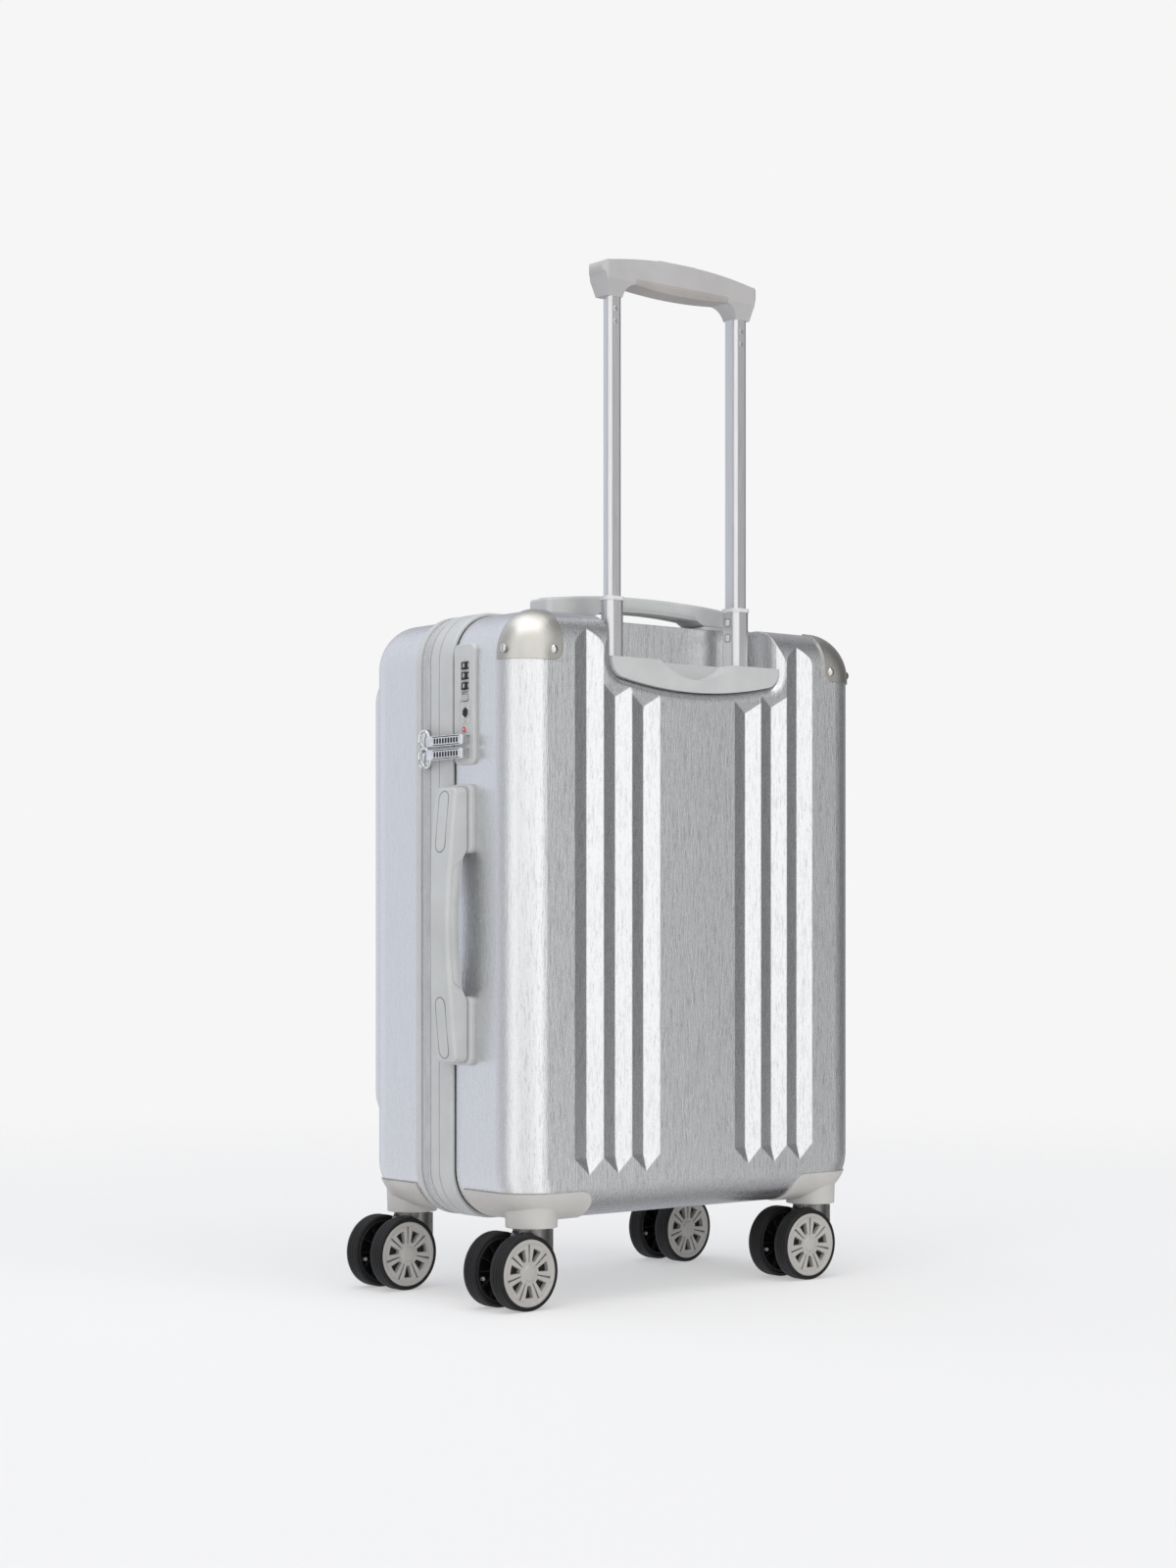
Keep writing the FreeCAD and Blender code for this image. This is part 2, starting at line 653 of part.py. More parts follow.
# trolley
bezel = recess(RECESS_Y, CASE_Y - 0.3, 0).common(box(-100, 100, 50, 110, 470, BEZEL_TOP))
scoop = cylinder(SCOOP_R, (0, 86, BEZEL_TOP + SCOOP_R - SCOOP_DEPTH), (0, 110, BEZEL_TOP + SCOOP_R - SCOOP_DEPTH))
nodes["trolley_bezel"] = cut(bezel, [scoop] + tube_pair(2 * TUBE_STEP, 460, 520))
foot = soft_box(-85, 85, TUBE_Y - 10.6, TUBE_Y + 10.6, OUTER_Z[0] - 0.6, OUTER_Z[0] + 2.0, 6.0, V(0, 0, 1))
sleeves = hollow_pair(2 * TUBE_STEP, OUTER_Z[0], OUTER_Z[1])
nodes["trolley_outer_frame"] = fuse([foot] + sleeves)
nodes["middle_tubes"] = Part.makeCompound(hollow_pair(TUBE_STEP, MIDDLE_Z[0], MIDDLE_Z[1] - 1.5))
collars = []
for side in (1, -1):
    ring = tube(side, TUBE_STEP + 0.8, COLLAR_Z[0], COLLAR_Z[1])
    seat = tube(side, TUBE_STEP, COLLAR_Z[0] - 1, MIDDLE_Z[1] - 1.5)
    collars.append(cut(ring, [seat, tube(side, 0.35, COLLAR_Z[0] - 2, COLLAR_Z[1] + 1)]))
nodes["tube_collars"] = Part.makeCompound(collars)

rivet_holes = []
rivets = []
for side in (1, -1):
    for z in RIVET_Z:
        face_y = TUBE_Y + TUBE_D / 2
        rivet_holes.append(cylinder(1.3, (side * RIVET_X, face_y - 6, z), (side * RIVET_X, face_y + 1, z)))
        shank = cylinder(1.3, (side * RIVET_X, face_y - 5.5, z), (side * RIVET_X, face_y + 0.1, z))
        head = Part.makeCone(2.0, 1.6, 0.25, V(side * RIVET_X, face_y, z), V(0, 1, 0))
        rivets.append(fuse([shank, head]))
upper = hollow_pair(0.0, UPPER_Z[0], UPPER_Z[1])
nodes["upper_tubes"] = Part.makeCompound([cut(bar, rivet_holes) for bar in upper])
nodes["grip_rivets"] = Part.makeCompound(rivets)

plugs = tube_pair(-TUBE_WALL, UPPER_Z[1] - 28, UPPER_Z[1] + 4)
button_slot = box(-BUTTON_HALF_W - 0.4, BUTTON_HALF_W + 0.4, TUBE_Y - 5.4, TUBE_Y + 5.4, GRIP_TOP - 9.0, 830)
whole_grip = cut(fuse([grip_solid()] + plugs), rivet_holes + [button_slot])
under = box(-INSERT_HALF_W, INSERT_HALF_W, 60, 95, 780, GRIP_TOP - 18)
under = under.cut(box(-INSERT_HALF_W, INSERT_HALF_W, TUBE_Y - 7, TUBE_Y + 7, GRIP_TOP - 22, 804))
nodes["grip"] = whole_grip.cut(under)
nodes["grip_insert"] = whole_grip.common(under)
button = soft_box(-BUTTON_HALF_W, BUTTON_HALF_W, TUBE_Y - 5, TUBE_Y + 5, GRIP_TOP - 5.5, GRIP_TOP + 2.2,
                  3.0, V(0, 0, 1))
nodes["release_button"] = button.makeFillet(1.0, edges_on_plane(button, "z", GRIP_TOP + 2.2))

# carry handles
handle = carry_handle()
mounts = handle_mounts()
frame_zone = case_prism(ZIP_BACK_Y, BAND_Y + 0.3, -FRAME_PROUD - 0.2)
nodes["top_handle"] = on_top(handle)
nodes["side_handle"] = on_side(handle)
nodes["top_handle_mounts"] = Part.makeCompound([on_top(m).cut(frame_zone) for m in mounts])
nodes["side_handle_mounts"] = Part.makeCompound([on_side(m).cut(frame_zone) for m in mounts])

# lock
plate = soft_box(172, LOCK_FACE, LOCK_Y[0], LOCK_Y[1], LOCK_Z[0], LOCK_Z[1], 6.0, V(1, 0, 0))
plate = plate.makeFillet(1.2, edges_on_plane(plate, "x", LOCK_FACE))
plate = plate.cut(case_half(0, CASE_Y, 0))
lock = fuse([plate, lock_body(0)])
pockets = []
for z in DIAL_Z:
    half = DIAL_T / 2 + 0.35
    pockets.append(cylinder(DIAL_R + 0.6, (DIAL_X, DIAL_Y, z - half), (DIAL_X, DIAL_Y, z + half)))
pockets.append(box(181.0, 190, DIAL_Y - 4.3, DIAL_Y + 4.3, LOCK_BUTTON_Z[0] - 0.4, LOCK_BUTTON_Z[1] + 2.9))
pockets.append(cylinder(KEY_R + 0.06, (171.5, KEY_Y, KEY_Z), (190, KEY_Y, KEY_Z)))
for z in SLIDER_Z:
    pockets.append(box(181.8, 190, PULL_END_Y - 4.5, PULL_END_Y + 0.8, z - 3.4, z + 3.4))
pin = cylinder(DIAL_PIN_R, (DIAL_X, DIAL_Y, DIAL_Z[2] - 5), (DIAL_X, DIAL_Y, DIAL_Z[0] + 5))
nodes["lock_plate"] = fuse([cut(lock, pockets), pin])
for number, z in enumerate(DIAL_Z, 1):
    dial = cylinder(DIAL_R, (DIAL_X, DIAL_Y, z - DIAL_T / 2), (DIAL_X, DIAL_Y, z + DIAL_T / 2))
    notches = [cylinder(DIAL_PIN_R + 0.05, (DIAL_X, DIAL_Y, z - 5), (DIAL_X, DIAL_Y, z + 5))]
    for k in range(10):
        angle = math.radians(18 + 36 * k)
        x = DIAL_X + (DIAL_R + 0.2) * math.cos(angle)
        y = DIAL_Y + (DIAL_R + 0.2) * math.sin(angle)
        notches.append(cylinder(0.5, (x, y, z - 5), (x, y, z + 5)))
    nodes["lock_dial_%d" % number] = cut(dial, notches)
button = soft_box(181.3, 184.4, DIAL_Y - 4.0, DIAL_Y + 4.0, LOCK_BUTTON_Z[0], LOCK_BUTTON_Z[1], 1.2, V(1, 0, 0))
nodes["lock_button"] = button.makeFillet(0.6, edges_on_plane(button, "x", 184.4))
barrel = cylinder(KEY_R, (172, KEY_Y, KEY_Z), (LOCK_FACE + 0.15, KEY_Y, KEY_Z))
nodes["key_cylinder"] = barrel.cut(box(181.5, 190, KEY_Y - 0.5, KEY_Y + 0.5, KEY_Z - 2.2, KEY_Z + 2.2))

# zip sliders, drawn at z = 0, and pulls hinged on a vertical pin in each slider
reach, back = SLIDER_REACH
slider = soft_box(SLIDER_X, SLIDER_X + 3.7, SLIDER_Y - 4.8, SLIDER_Y + 4.8, -back, reach, 2.0, V(1, 0, 0))
bridge = fuse([box(SLIDER_X + 3, PULL_AXIS_X + 1.5, SLIDER_Y - 1.5, SLIDER_Y + 1.5, -back, -2.5),
               box(SLIDER_X + 3, PULL_AXIS_X + 1.5, SLIDER_Y - 1.5, SLIDER_Y + 1.5, 2.5, 4.0)])
pin = cylinder(0.9, (PULL_AXIS_X, SLIDER_Y, -back + 0.2), (PULL_AXIS_X, SLIDER_Y, 3.8))
slider = fuse([slider, bridge, pin])
eye = cylinder(1.5, (PULL_AXIS_X, SLIDER_Y, -2.2), (PULL_AXIS_X, SLIDER_Y, 2.2))
arm = box(PULL_AXIS_X - 1.1, PULL_AXIS_X + 1.1, SLIDER_Y + 0.6, 3.0, -2.2, 2.2)
blade = soft_box(PULL_AXIS_X - 1.1, PULL_AXIS_X + 1.1, 0.0, PULL_END_Y, -PULL_H / 2, PULL_H / 2, 1.0, V(1, 0, 0))
hook = box(LOCK_FACE + 0.3, PULL_AXIS_X, PULL_END_Y - 3.0, PULL_END_Y - 0.2, -2.6, 2.6)
pull = fuse([eye, arm, blade, hook]).cut(cylinder(0.96, (PULL_AXIS_X, SLIDER_Y, -6), (PULL_AXIS_X, SLIDER_Y, 6)))
for word, z in zip(("upper", "lower"), SLIDER_Z):
    for kind, shape in (("zip_slider_", slider), ("zip_pull_", pull)):
        nodes[kind + word] = shape.copy()
        if word == "lower":
            nodes[kind + word] = shape.mirror(V(0, 0, 0), V(0, 0, 1))
        nodes[kind + word].translate(V(0, 0, z))

# wheel housings, casters and wheels
nodes["wheel_housings_back"] = Part.makeCompound([wheel_housing(side, CASE_Y) for side in (1, -1)])
front_pair = [mirrored(wheel_housing(side, LID_FACE), y=True) for side in (1, -1)]
nodes["wheel_housings_front"] = Part.makeCompound(front_pair)
fork = caster_fork()
axle = caster_axle()
tyre = wheel_tyre()
hub = wheel_hub()
for name in CASTER_TURN:
    nodes["caster_fork_" + name] = place_caster(fork, name)
    nodes["caster_axle_" + name] = place_caster(axle, name)
    for end, side in (("rear", 1), ("front", -1)):
        nodes["wheel_tyre_%s_%s" % (name, end)] = place_wheel(tyre, name, side)
        nodes["wheel_hub_%s_%s" % (name, end)] = place_wheel(hub, name, side)

# corner guards
nodes["corner_guards"] = Part.makeCompound([guard(1), guard(-1)])
nodes["guard_screws"] = Part.makeCompound(guard_screws())

os.makedirs("parts", exist_ok=True)
total = FreeCAD.BoundBox()
for name, shape in nodes.items():
    shape.translate(V(SHIFT_X, SHIFT_Y, 0))
    total.add(shape.BoundBox)
    shape.exportStep("parts/%s.step" % name)
    print("%-26s solids %2d valid %s volume %9.0f" % (name, len(shape.Solids), shape.isValid(), shape.Volume))
print("overall x %.2f %.2f" % (total.XMin, total.XMax))
print("overall y %.2f %.2f" % (total.YMin, total.YMax))
print("overall z %.2f %.2f" % (total.ZMin, total.ZMax))
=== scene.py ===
"""Blender looks for the hard-shell suitcase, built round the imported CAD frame.

Places are given in the CAD drawing's own millimetres and turned into the frame's metres by mm().
+Z is up, +Y is the back face with the trolley, +X the side with the zip sliders, lock and handle.
"""
import bpy
import math
from mathutils import Matrix, Vector, noise


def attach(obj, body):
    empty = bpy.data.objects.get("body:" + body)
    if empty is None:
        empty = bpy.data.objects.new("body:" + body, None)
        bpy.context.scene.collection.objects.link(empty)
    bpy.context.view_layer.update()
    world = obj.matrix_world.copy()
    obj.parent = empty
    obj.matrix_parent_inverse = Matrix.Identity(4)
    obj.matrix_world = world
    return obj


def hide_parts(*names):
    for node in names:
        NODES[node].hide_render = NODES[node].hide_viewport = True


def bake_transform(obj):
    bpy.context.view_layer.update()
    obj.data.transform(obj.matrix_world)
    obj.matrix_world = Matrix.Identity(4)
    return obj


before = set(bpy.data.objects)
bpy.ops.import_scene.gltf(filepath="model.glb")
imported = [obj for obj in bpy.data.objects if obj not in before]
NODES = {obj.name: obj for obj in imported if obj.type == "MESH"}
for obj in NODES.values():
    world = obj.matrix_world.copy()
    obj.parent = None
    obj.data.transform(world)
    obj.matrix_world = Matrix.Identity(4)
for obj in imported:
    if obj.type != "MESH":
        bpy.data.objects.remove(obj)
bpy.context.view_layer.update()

# drawing origin to frame origin
SHIFT_X = -10.0
SHIFT_Y = -1.15

# camera
CAM = (1424.3, 1711.9, 290.1)
CAM_TURN = 39.21
FOCAL = 62.18
SHIFT_UP = 0.0914

# studio: backdrop colour, and the colour that lights the case from each direction round it
PAPER = (0.92, 0.92, 0.92)
STUDIO_STRENGTH = 2.0
STUDIO = (
    (-180, (0.14, 0.14, 0.15)),
    (-120, (0.50, 0.51, 0.56)),
    (-90, (0.88, 0.91, 1.00)),
    (-50, (0.84, 0.87, 0.95)),
    (-34, (0.56, 0.57, 0.61)),
    (-16, (0.42, 0.425, 0.44)),
    (-4, (0.70, 0.70, 0.71)),
    (7, (1.30, 1.30, 1.30)),
    (24, (1.35, 1.35, 1.35)),
    (38, (0.96, 0.96, 0.96)),
    (68, (0.96, 0.96, 0.96)),
    (86, (1.30, 1.30, 1.30)),
    (115, (1.50, 1.50, 1.50)),
    (119, (0.90, 0.90, 0.91)),
    (124, (0.40, 0.405, 0.41)),
    (140, (0.46, 0.465, 0.47)),
    (152, (0.14, 0.14, 0.145)),
    (180, (0.14, 0.14, 0.15)),
)

# case outline in front view
CASE_HALF_W = 180.0
CASE_Z0 = 66.0
CASE_Z1 = 533.0
CORNER_R = 37.0

# zip
ZIP_SPLIT_Y = -7.95
TAPE_FRONT_Y = -16.6
TAPE_BACK_Y = -2.9
HINGE_Z = (112.0, 488.0)
TAPE_STEPS = 720
TEETH = 1020
TOOTH_HALF = (0.68, 0.40)
EDGE_STITCHES = 560
# bars across the tapes: start and end in from the split or the edge, then bottom and top
COIL_BAR = (0.0, 2.5, 2.0, 2.75)
SEWN_BAR = (2.75, 3.2, 1.9, 2.35)
EDGE_BAR = (1.6, 2.0, 1.5, 2.25)
GAP_Y = (24.05, 25.45)
SLIDER_X = 182.9
SLIDER_Y = -7.95
SLIDER_Z = {"upper": 434.0, "lower": 423.6}
SLIDER_W = 9.4
SLIDER_L = 13.6
SLIDER_H = 3.4
SLIDER_TAPER = 0.16
SLIDER_AHEAD = 3.4
# path of the bridge: out from the slider, and along the zip
BRIDGE = ((3.0, 9.0), (4.6, 9.1), (6.4, 8.2), (7.6, 6.2), (8.3, 3.0), (8.4, 0.0), (8.0, -1.8),
          (6.6, -3.0), (4.6, -3.2), (3.0, -3.2))
BRIDGE_R = 1.15
RING_Y = -2.6
RING_HALF_Y = 6.0
RING_HALF_Z = 7.4
RING_R = 1.25
PULL_AXIS_X = 190.0
PULL_START_Y = 1.2
PULL_END_Y = 46.5
PULL_H = 8.4
PULL_RIDGES = 9

# lock
LOCK_FACE = 183.0
DIAL_X = 177.2
DIAL_Y = 41.0
DIAL_R = 7.0
DIAL_Z = (491.0, 483.2, 475.4)
NUMERAL_SIZE = 4.4
NUMERAL_SQUEEZE = 0.9
KEY_Y = 41.5
KEY_Z = 455.0
KEY_RING_R = 4.5
KEY_MARK_R = 6.0
INDICATOR_Z = 442.0

# casters: stem place and resting turn in degrees
CASTER_TRAIL = 21.0
WHEEL_R = 29.0
WHEEL_HALF = 7.0
WHEEL_Y = 15.5
HUB_R = 25.9
HUB_WEB_Y = -1.2
HUB_SPOKES = 7
HUB_RIBS = 12
HUB_RIB_R = 15.0
HUB_SCREW_R = 17.5
CASTERS = {
    "back_a": (147.5, 78.5, 3.0),
    "back_b": (-147.5, 78.5, 0.0),
    "front_a": (147.5, -78.5, 2.5),
    "front_b": (-147.5, -78.5, 6.0),
}

# crimp marks on the trolley tube
CRIMP_X = -57.9
CRIMP_Z = (538.0, 525.5)
TUBE_Y = 75.0

# carry handles, in their own frame: X along the handle, Z away from the case
HANDLE_HALF_L = 105.5
HANDLE_HALF_W = 13.3
HANDLE_WAIST = 2.3
WAIST_HALF_L = 56.0
HANDLE_TOP = 23.0
HANDLE_END_TOP = 16.0
HANDLE_LOW = 4.8
HANDLE_Y = 33.0
INSERT_HALF_L = 50.0
INSERT_SKEW = 0.75
INSERT_LEVEL = 4.2
SEAM_DEPTH = 4.2
COVER_X = 79.0
SIDE_HANDLE_Z = 292.0

# linings: rim and end face of each half, the slack of the cloth, and what the back one clears
BACK_LINING_Y = (35.0, 64.0)
FRONT_LINING_Y = (-32.8, -93.4)
LINING_INSET = 5.3
LINING_EDGE_R = 20.0
LINING_REACH_IN = 148.0
LINING_CALM = 145.0
SLACK = 1.2
BEZEL_HALF_W = 138
BEZEL_Z = 444
BEZEL_Y = 62.0
BEZEL_DEPTH = 10.4
LOCK_Z = (424, 506)
LOCK_Y = 53
LOCK_X = 120
LOCK_INSIDE_X = 165.0

# cloth hinge inside the plain side
STRIP_X = -174.6
STRIP_Y = (22.0, -40.0)
STRIP_Z = (110.0, 490.0)


def mm(x, y, z):
    return Vector(((x + SHIFT_X) / 1000, (y + SHIFT_Y) / 1000, z / 1000))


# ---------------------------------------------------------------- camera, light and floor
def make_camera():
    data = bpy.data.cameras.new("camera")
    data.sensor_fit = "VERTICAL"
    data.sensor_height = 36.0
    data.lens = FOCAL
    data.shift_y = SHIFT_UP
    data.clip_end = 50
    camera = bpy.data.objects.new("camera", data)
    bpy.context.scene.collection.objects.link(camera)
    camera.location = mm(*CAM)
    camera.rotation_euler = (math.radians(90), 0, math.radians(180 - CAM_TURN))
    bpy.context.scene.camera = camera


def area_light(name, place, target, size, power):
    data = bpy.data.lights.new(name, "AREA")
    data.shape = "RECTANGLE"
    data.size, data.size_y = size
    data.energy = power
    lamp = bpy.data.objects.new(name, data)
    bpy.context.scene.collection.objects.link(lamp)
    lamp.location = place
    lamp.rotation_euler = (Vector(target) - Vector(place)).to_track_quat("-Z", "Y").to_euler()


def make_world():
    """A pale studio. What the case reflects changes round it: darker behind, cool on the lock side."""
    world = bpy.data.worlds.new("studio")
    scene = bpy.context.scene
    scene.world = world
    scene.view_settings.view_transform = "Standard"
    world.use_nodes = True
    nodes = world.node_tree.nodes
    links = world.node_tree.links
    lighting = nodes["Background"]
    lighting.inputs["Strength"].default_value = STUDIO_STRENGTH
    coords = nodes.new("ShaderNodeTexCoord")
    split = nodes.new("ShaderNodeSeparateXYZ")
    turn = nodes.new("ShaderNodeMath")
    turn.operation = "ARCTAN2"
    spread = nodes.new("ShaderNodeMapRange")
    spread.inputs["From Min"].default_value = -math.pi
    spread.inputs["From Max"].default_value = math.pi
    ramp = nodes.new("ShaderNodeValToRGB")
    ramp.color_ramp.interpolation = "B_SPLINE"
    stops = ramp.color_ramp.elements
    while len(stops) > 1:
        stops.remove(stops[-1])
    for k, (degrees, colour) in enumerate(STUDIO):
        stop = stops[0] if k == 0 else stops.new((degrees + 180) / 360)
        stop.position = (degrees + 180) / 360
        stop.color = (*(value / STUDIO_STRENGTH for value in colour), 1)
    links.new(coords.outputs["Generated"], split.inputs["Vector"])
    links.new(split.outputs["Y"], turn.inputs[0])
    links.new(split.outputs["X"], turn.inputs[1])
    links.new(turn.outputs["Value"], spread.inputs["Value"])
    links.new(spread.outputs["Result"], ramp.inputs["Fac"])
    links.new(ramp.outputs["Color"], lighting.inputs["Color"])
    paper = nodes.new("ShaderNodeBackground")
    paper.inputs["Color"].default_value = (*PAPER, 1)
    path = nodes.new("ShaderNodeLightPath")
    mix = nodes.new("ShaderNodeMixShader")
    links.new(path.outputs["Is Camera Ray"], mix.inputs["Fac"])
    links.new(lighting.outputs["Background"], mix.inputs[1])
    links.new(paper.outputs["Background"], mix.inputs[2])
    links.new(mix.outputs["Shader"], nodes["World Output"].inputs["Surface"])


# ---------------------------------------------------------------- materials
class Finish:
    """A material whose Principled shader is fed by textures in object coordinates (metres)."""

    def __init__(self, name, colour, roughness, metallic=0.0, **sockets):
        self.material = bpy.data.materials.new(name)
        self.material.use_nodes = True
        self.nodes = self.material.node_tree.nodes
        self.links = self.material.node_tree.links
        self.shader = self.nodes["Principled BSDF"]
        self.normal = None
        self.set("Base Color", (*colour, 1))
        self.set("Roughness", roughness)
        self.set("Metallic", metallic)
        for socket, value in sockets.items():
            self.set(socket.replace("_", " "), value)

    def set(self, socket, value):
        self.shader.inputs[socket].default_value = value

    def coordinates(self, per_metre):
        coords = self.nodes.new("ShaderNodeTexCoord")
        mapping = self.nodes.new("ShaderNodeMapping")
        mapping.inputs["Scale"].default_value = per_metre
        self.links.new(coords.outputs["Object"], mapping.inputs["Vector"])
        return mapping.outputs["Vector"]

    def noise(self, per_metre, detail=3.0, rough=0.55):
        """Noise with the given number of features per metre along X, Y and Z."""
        texture = self.nodes.new("ShaderNodeTexNoise")
        texture.inputs["Scale"].default_value = 1.0
        texture.inputs["Detail"].default_value = detail
        texture.inputs["Roughness"].default_value = rough
        self.links.new(self.coordinates(per_metre), texture.inputs["Vector"])
        return texture.outputs["Fac"]

    def wave(self, per_metre, direction):
        texture = self.nodes.new("ShaderNodeTexWave")
        texture.bands_direction = direction
        texture.inputs["Scale"].default_value = 1.0
        texture.inputs["Distortion"].default_value = 0.6
        texture.inputs["Detail Scale"].default_value = 2.0
        self.links.new(self.coordinates((per_metre, per_metre, per_metre)), texture.inputs["Vector"])
        return texture.outputs["Fac"]

    def spread(self, value, low, high, sharpen=0.0):
        node = self.nodes.new("ShaderNodeMapRange")
        node.inputs["From Min"].default_value = sharpen
        node.inputs["From Max"].default_value = 1 - sharpen
        node.inputs["To Min"].default_value = low
        node.inputs["To Max"].default_value = high
        self.links.new(value, node.inputs["Value"])
        return node.outputs["Result"]

    def combine(self, first, second, operation):
        node = self.nodes.new("ShaderNodeMath")
        node.operation = operation
        self.links.new(first, node.inputs[0])
        self.links.new(second, node.inputs[1])
        return node.outputs["Value"]

    def tint(self, value, dark, light, sharpen=0.25):
        """Base colour from dark to light as the texture value rises."""
        node = self.nodes.new("ShaderNodeMix")
        node.data_type = "RGBA"
        node.inputs["A"].default_value = (*dark, 1)
        node.inputs["B"].default_value = (*light, 1)
        self.links.new(self.spread(value, 0.0, 1.0, sharpen), node.inputs["Factor"])
        self.links.new(node.outputs["Result"], self.shader.inputs["Base Color"])

    def calm_sides(self, value):
        """Hold a texture value near its middle where the surface faces sideways."""
        facing = self.nodes.new("ShaderNodeNewGeometry")
        split = self.nodes.new("ShaderNodeSeparateXYZ")
        size = self.nodes.new("ShaderNodeMath")
        size.operation = "ABSOLUTE"
        fade = self.nodes.new("ShaderNodeMapRange")
        fade.inputs["From Min"].default_value = 0.6
        fade.inputs["From Max"].default_value = 0.98
        fade.inputs["To Max"].default_value = 0.75
        mix = self.nodes.new("ShaderNodeMix")
        mix.inputs["B"].default_value = 0.5
        self.links.new(facing.outputs["Normal"], split.inputs["Vector"])
        self.links.new(split.outputs["X"], size.inputs[0])
        self.links.new(size.outputs["Value"], fade.inputs["Value"])
        self.links.new(fade.outputs["Result"], mix.inputs["Factor"])
        self.links.new(value, mix.inputs["A"])
        return mix.outputs["Result"]

    def rough(self, value, low, high):
        self.links.new(self.spread(value, low, high, 0.25), self.shader.inputs["Roughness"])

    def bevel(self, radius):
        """Edges of the surface that catch the light as if rounded to this many millimetres."""
        node = self.nodes.new("ShaderNodeBevel")
        node.samples = 4
        node.inputs["Radius"].default_value = radius / 1000
        self.normal = node.outputs["Normal"]
        self.links.new(self.normal, self.shader.inputs["Normal"])

    def bump(self, value, depth):
        """Relief of the given depth in millimetres, on top of any earlier relief."""
        node = self.nodes.new("ShaderNodeBump")
        node.inputs["Distance"].default_value = depth / 1000
        node.inputs["Strength"].default_value = 1.0
        self.links.new(value, node.inputs["Height"])
        if self.normal:
            self.links.new(self.normal, node.inputs["Normal"])
        self.normal = node.outputs["Normal"]
        self.links.new(self.normal, self.shader.inputs["Normal"])


def brushed_shell():
    finish = Finish("brushed_silver_shell", (0.70, 0.71, 0.72), 0.30, 0.9)
    fine = finish.noise((1250, 1250, 170), 3.0, 0.6)
    broad = finish.noise((520, 520, 60), 3.0, 0.6)
    both = finish.combine(fine, broad, "ADD")
    half = finish.calm_sides(finish.spread(both, 0.0, 0.5))
    finish.tint(half, (0.54, 0.545, 0.555), (0.89, 0.895, 0.905), 0.36)
    finish.rough(fine, 0.18, 0.30)
    finish.bevel(1.2)
    finish.bump(fine, 0.14)
    finish.bump(broad, 0.12)
    return finish.material


def moulded(name, dark, light, roughness, grain=900, depth=0.02, edge=0.0, **sockets):
    """Moulded plastic or rubber: slight mottling, fine grain and uneven gloss."""
    finish = Finish(name, light, roughness, 0.0, **sockets)
    if edge:
        finish.bevel(edge)
    cloud = finish.noise((40, 40, 40), 2.0)
    fine = finish.noise((grain, grain, grain), 2.0)
    finish.tint(cloud, dark, light)
    finish.rough(fine, roughness - 0.05, roughness + 0.06)
    finish.bump(fine, depth)
    return finish.material


def metal(name, dark, light, roughness, streaks=(700, 700, 700), depth=0.01, edge=0.0):
    """Metal with fine brush or polish marks."""
    finish = Finish(name, light, roughness, 1.0)
    if edge:
        finish.bevel(edge)
    marks = finish.noise(streaks, 3.0, 0.6)
    finish.tint(marks, dark, light)
    finish.rough(marks, roughness - 0.05, roughness + 0.07)
    finish.bump(marks, depth)
    return finish.material


def woven(name, dark, light, threads, depth):
    """Cloth with crossed threads, so many per metre, and some fuzz."""
    finish = Finish(name, light, 0.85, 0.0, Sheen_Weight=0.25, Sheen_Roughness=0.5)
    turns = threads / math.tau * 2
    weave = finish.combine(finish.wave(turns, "X"), finish.wave(turns, "Z"), "MULTIPLY")
    fuzz = finish.noise((260, 260, 260), 3.0)
    finish.tint(finish.combine(finish.spread(weave, 0.5, 1.0), fuzz, "MULTIPLY"), dark, light, 0.05)
    finish.rough(fuzz, 0.75, 0.95)
    finish.bump(weave, depth)
    finish.bump(fuzz, depth * 1.5)
    return finish.material


SHELL = brushed_shell()
TRIM = moulded("light_grey_plastic", (0.49, 0.50, 0.50), (0.55, 0.56, 0.56), 0.40, depth=0.012, edge=0.6)
HANDLE_INSERT = moulded("soft_handle_insert", (0.46, 0.47, 0.47), (0.52, 0.53, 0.53), 0.62, 1400, 0.03)
GRIP = moulded("grip_plastic", (0.42, 0.41, 0.41), (0.47, 0.46, 0.46), 0.36, depth=0.01)
GRIP_PAD = moulded("grip_soft_pad", (0.35, 0.33, 0.315), (0.41, 0.385, 0.37), 0.66, 1400, 0.03)
HOUSING = moulded("greige_housing", (0.52, 0.505, 0.485), (0.58, 0.565, 0.545), 0.44, depth=0.02, edge=1.0)
HUB_CAP = moulded("greige_hub_cap", (0.40, 0.388, 0.372), (0.47, 0.457, 0.437), 0.40, depth=0.012)
TYRE = moulded("black_tyre", (0.008, 0.008, 0.0085), (0.016, 0.016, 0.0165), 0.55, 700, 0.03,
               Specular_IOR_Level=0.22)
# black of the hub insides and key marks; also used as painted shade in the frame groove and hub windows
DARK = moulded("black_parts_and_painted_shade", (0.005, 0.005, 0.006), (0.012, 0.012, 0.013), 0.45,
               Specular_IOR_Level=0.35)
FORK = metal("grey_fork", (0.13, 0.127, 0.125), (0.26, 0.255, 0.25), 0.28, (900, 900, 200), 0.02)
COLLAR = moulded("collar_plastic", (0.64, 0.64, 0.64), (0.70, 0.70, 0.70), 0.42)
TUBES = metal("satin_aluminium", (0.60, 0.60, 0.61), (0.72, 0.72, 0.73), 0.34, (1200, 1200, 30), 0.01)
GUARD = metal("champagne_satin", (0.50, 0.487, 0.455), (0.60, 0.587, 0.55), 0.36,
              (1500, 1500, 1500), 0.004, 1.0)
STEEL = metal("polished_steel", (0.55, 0.54, 0.53), (0.74, 0.72, 0.70), 0.20)
CHROME = metal("chrome", (0.58, 0.58, 0.58), (0.84, 0.84, 0.84), 0.10, (160, 160, 160), 0.02)
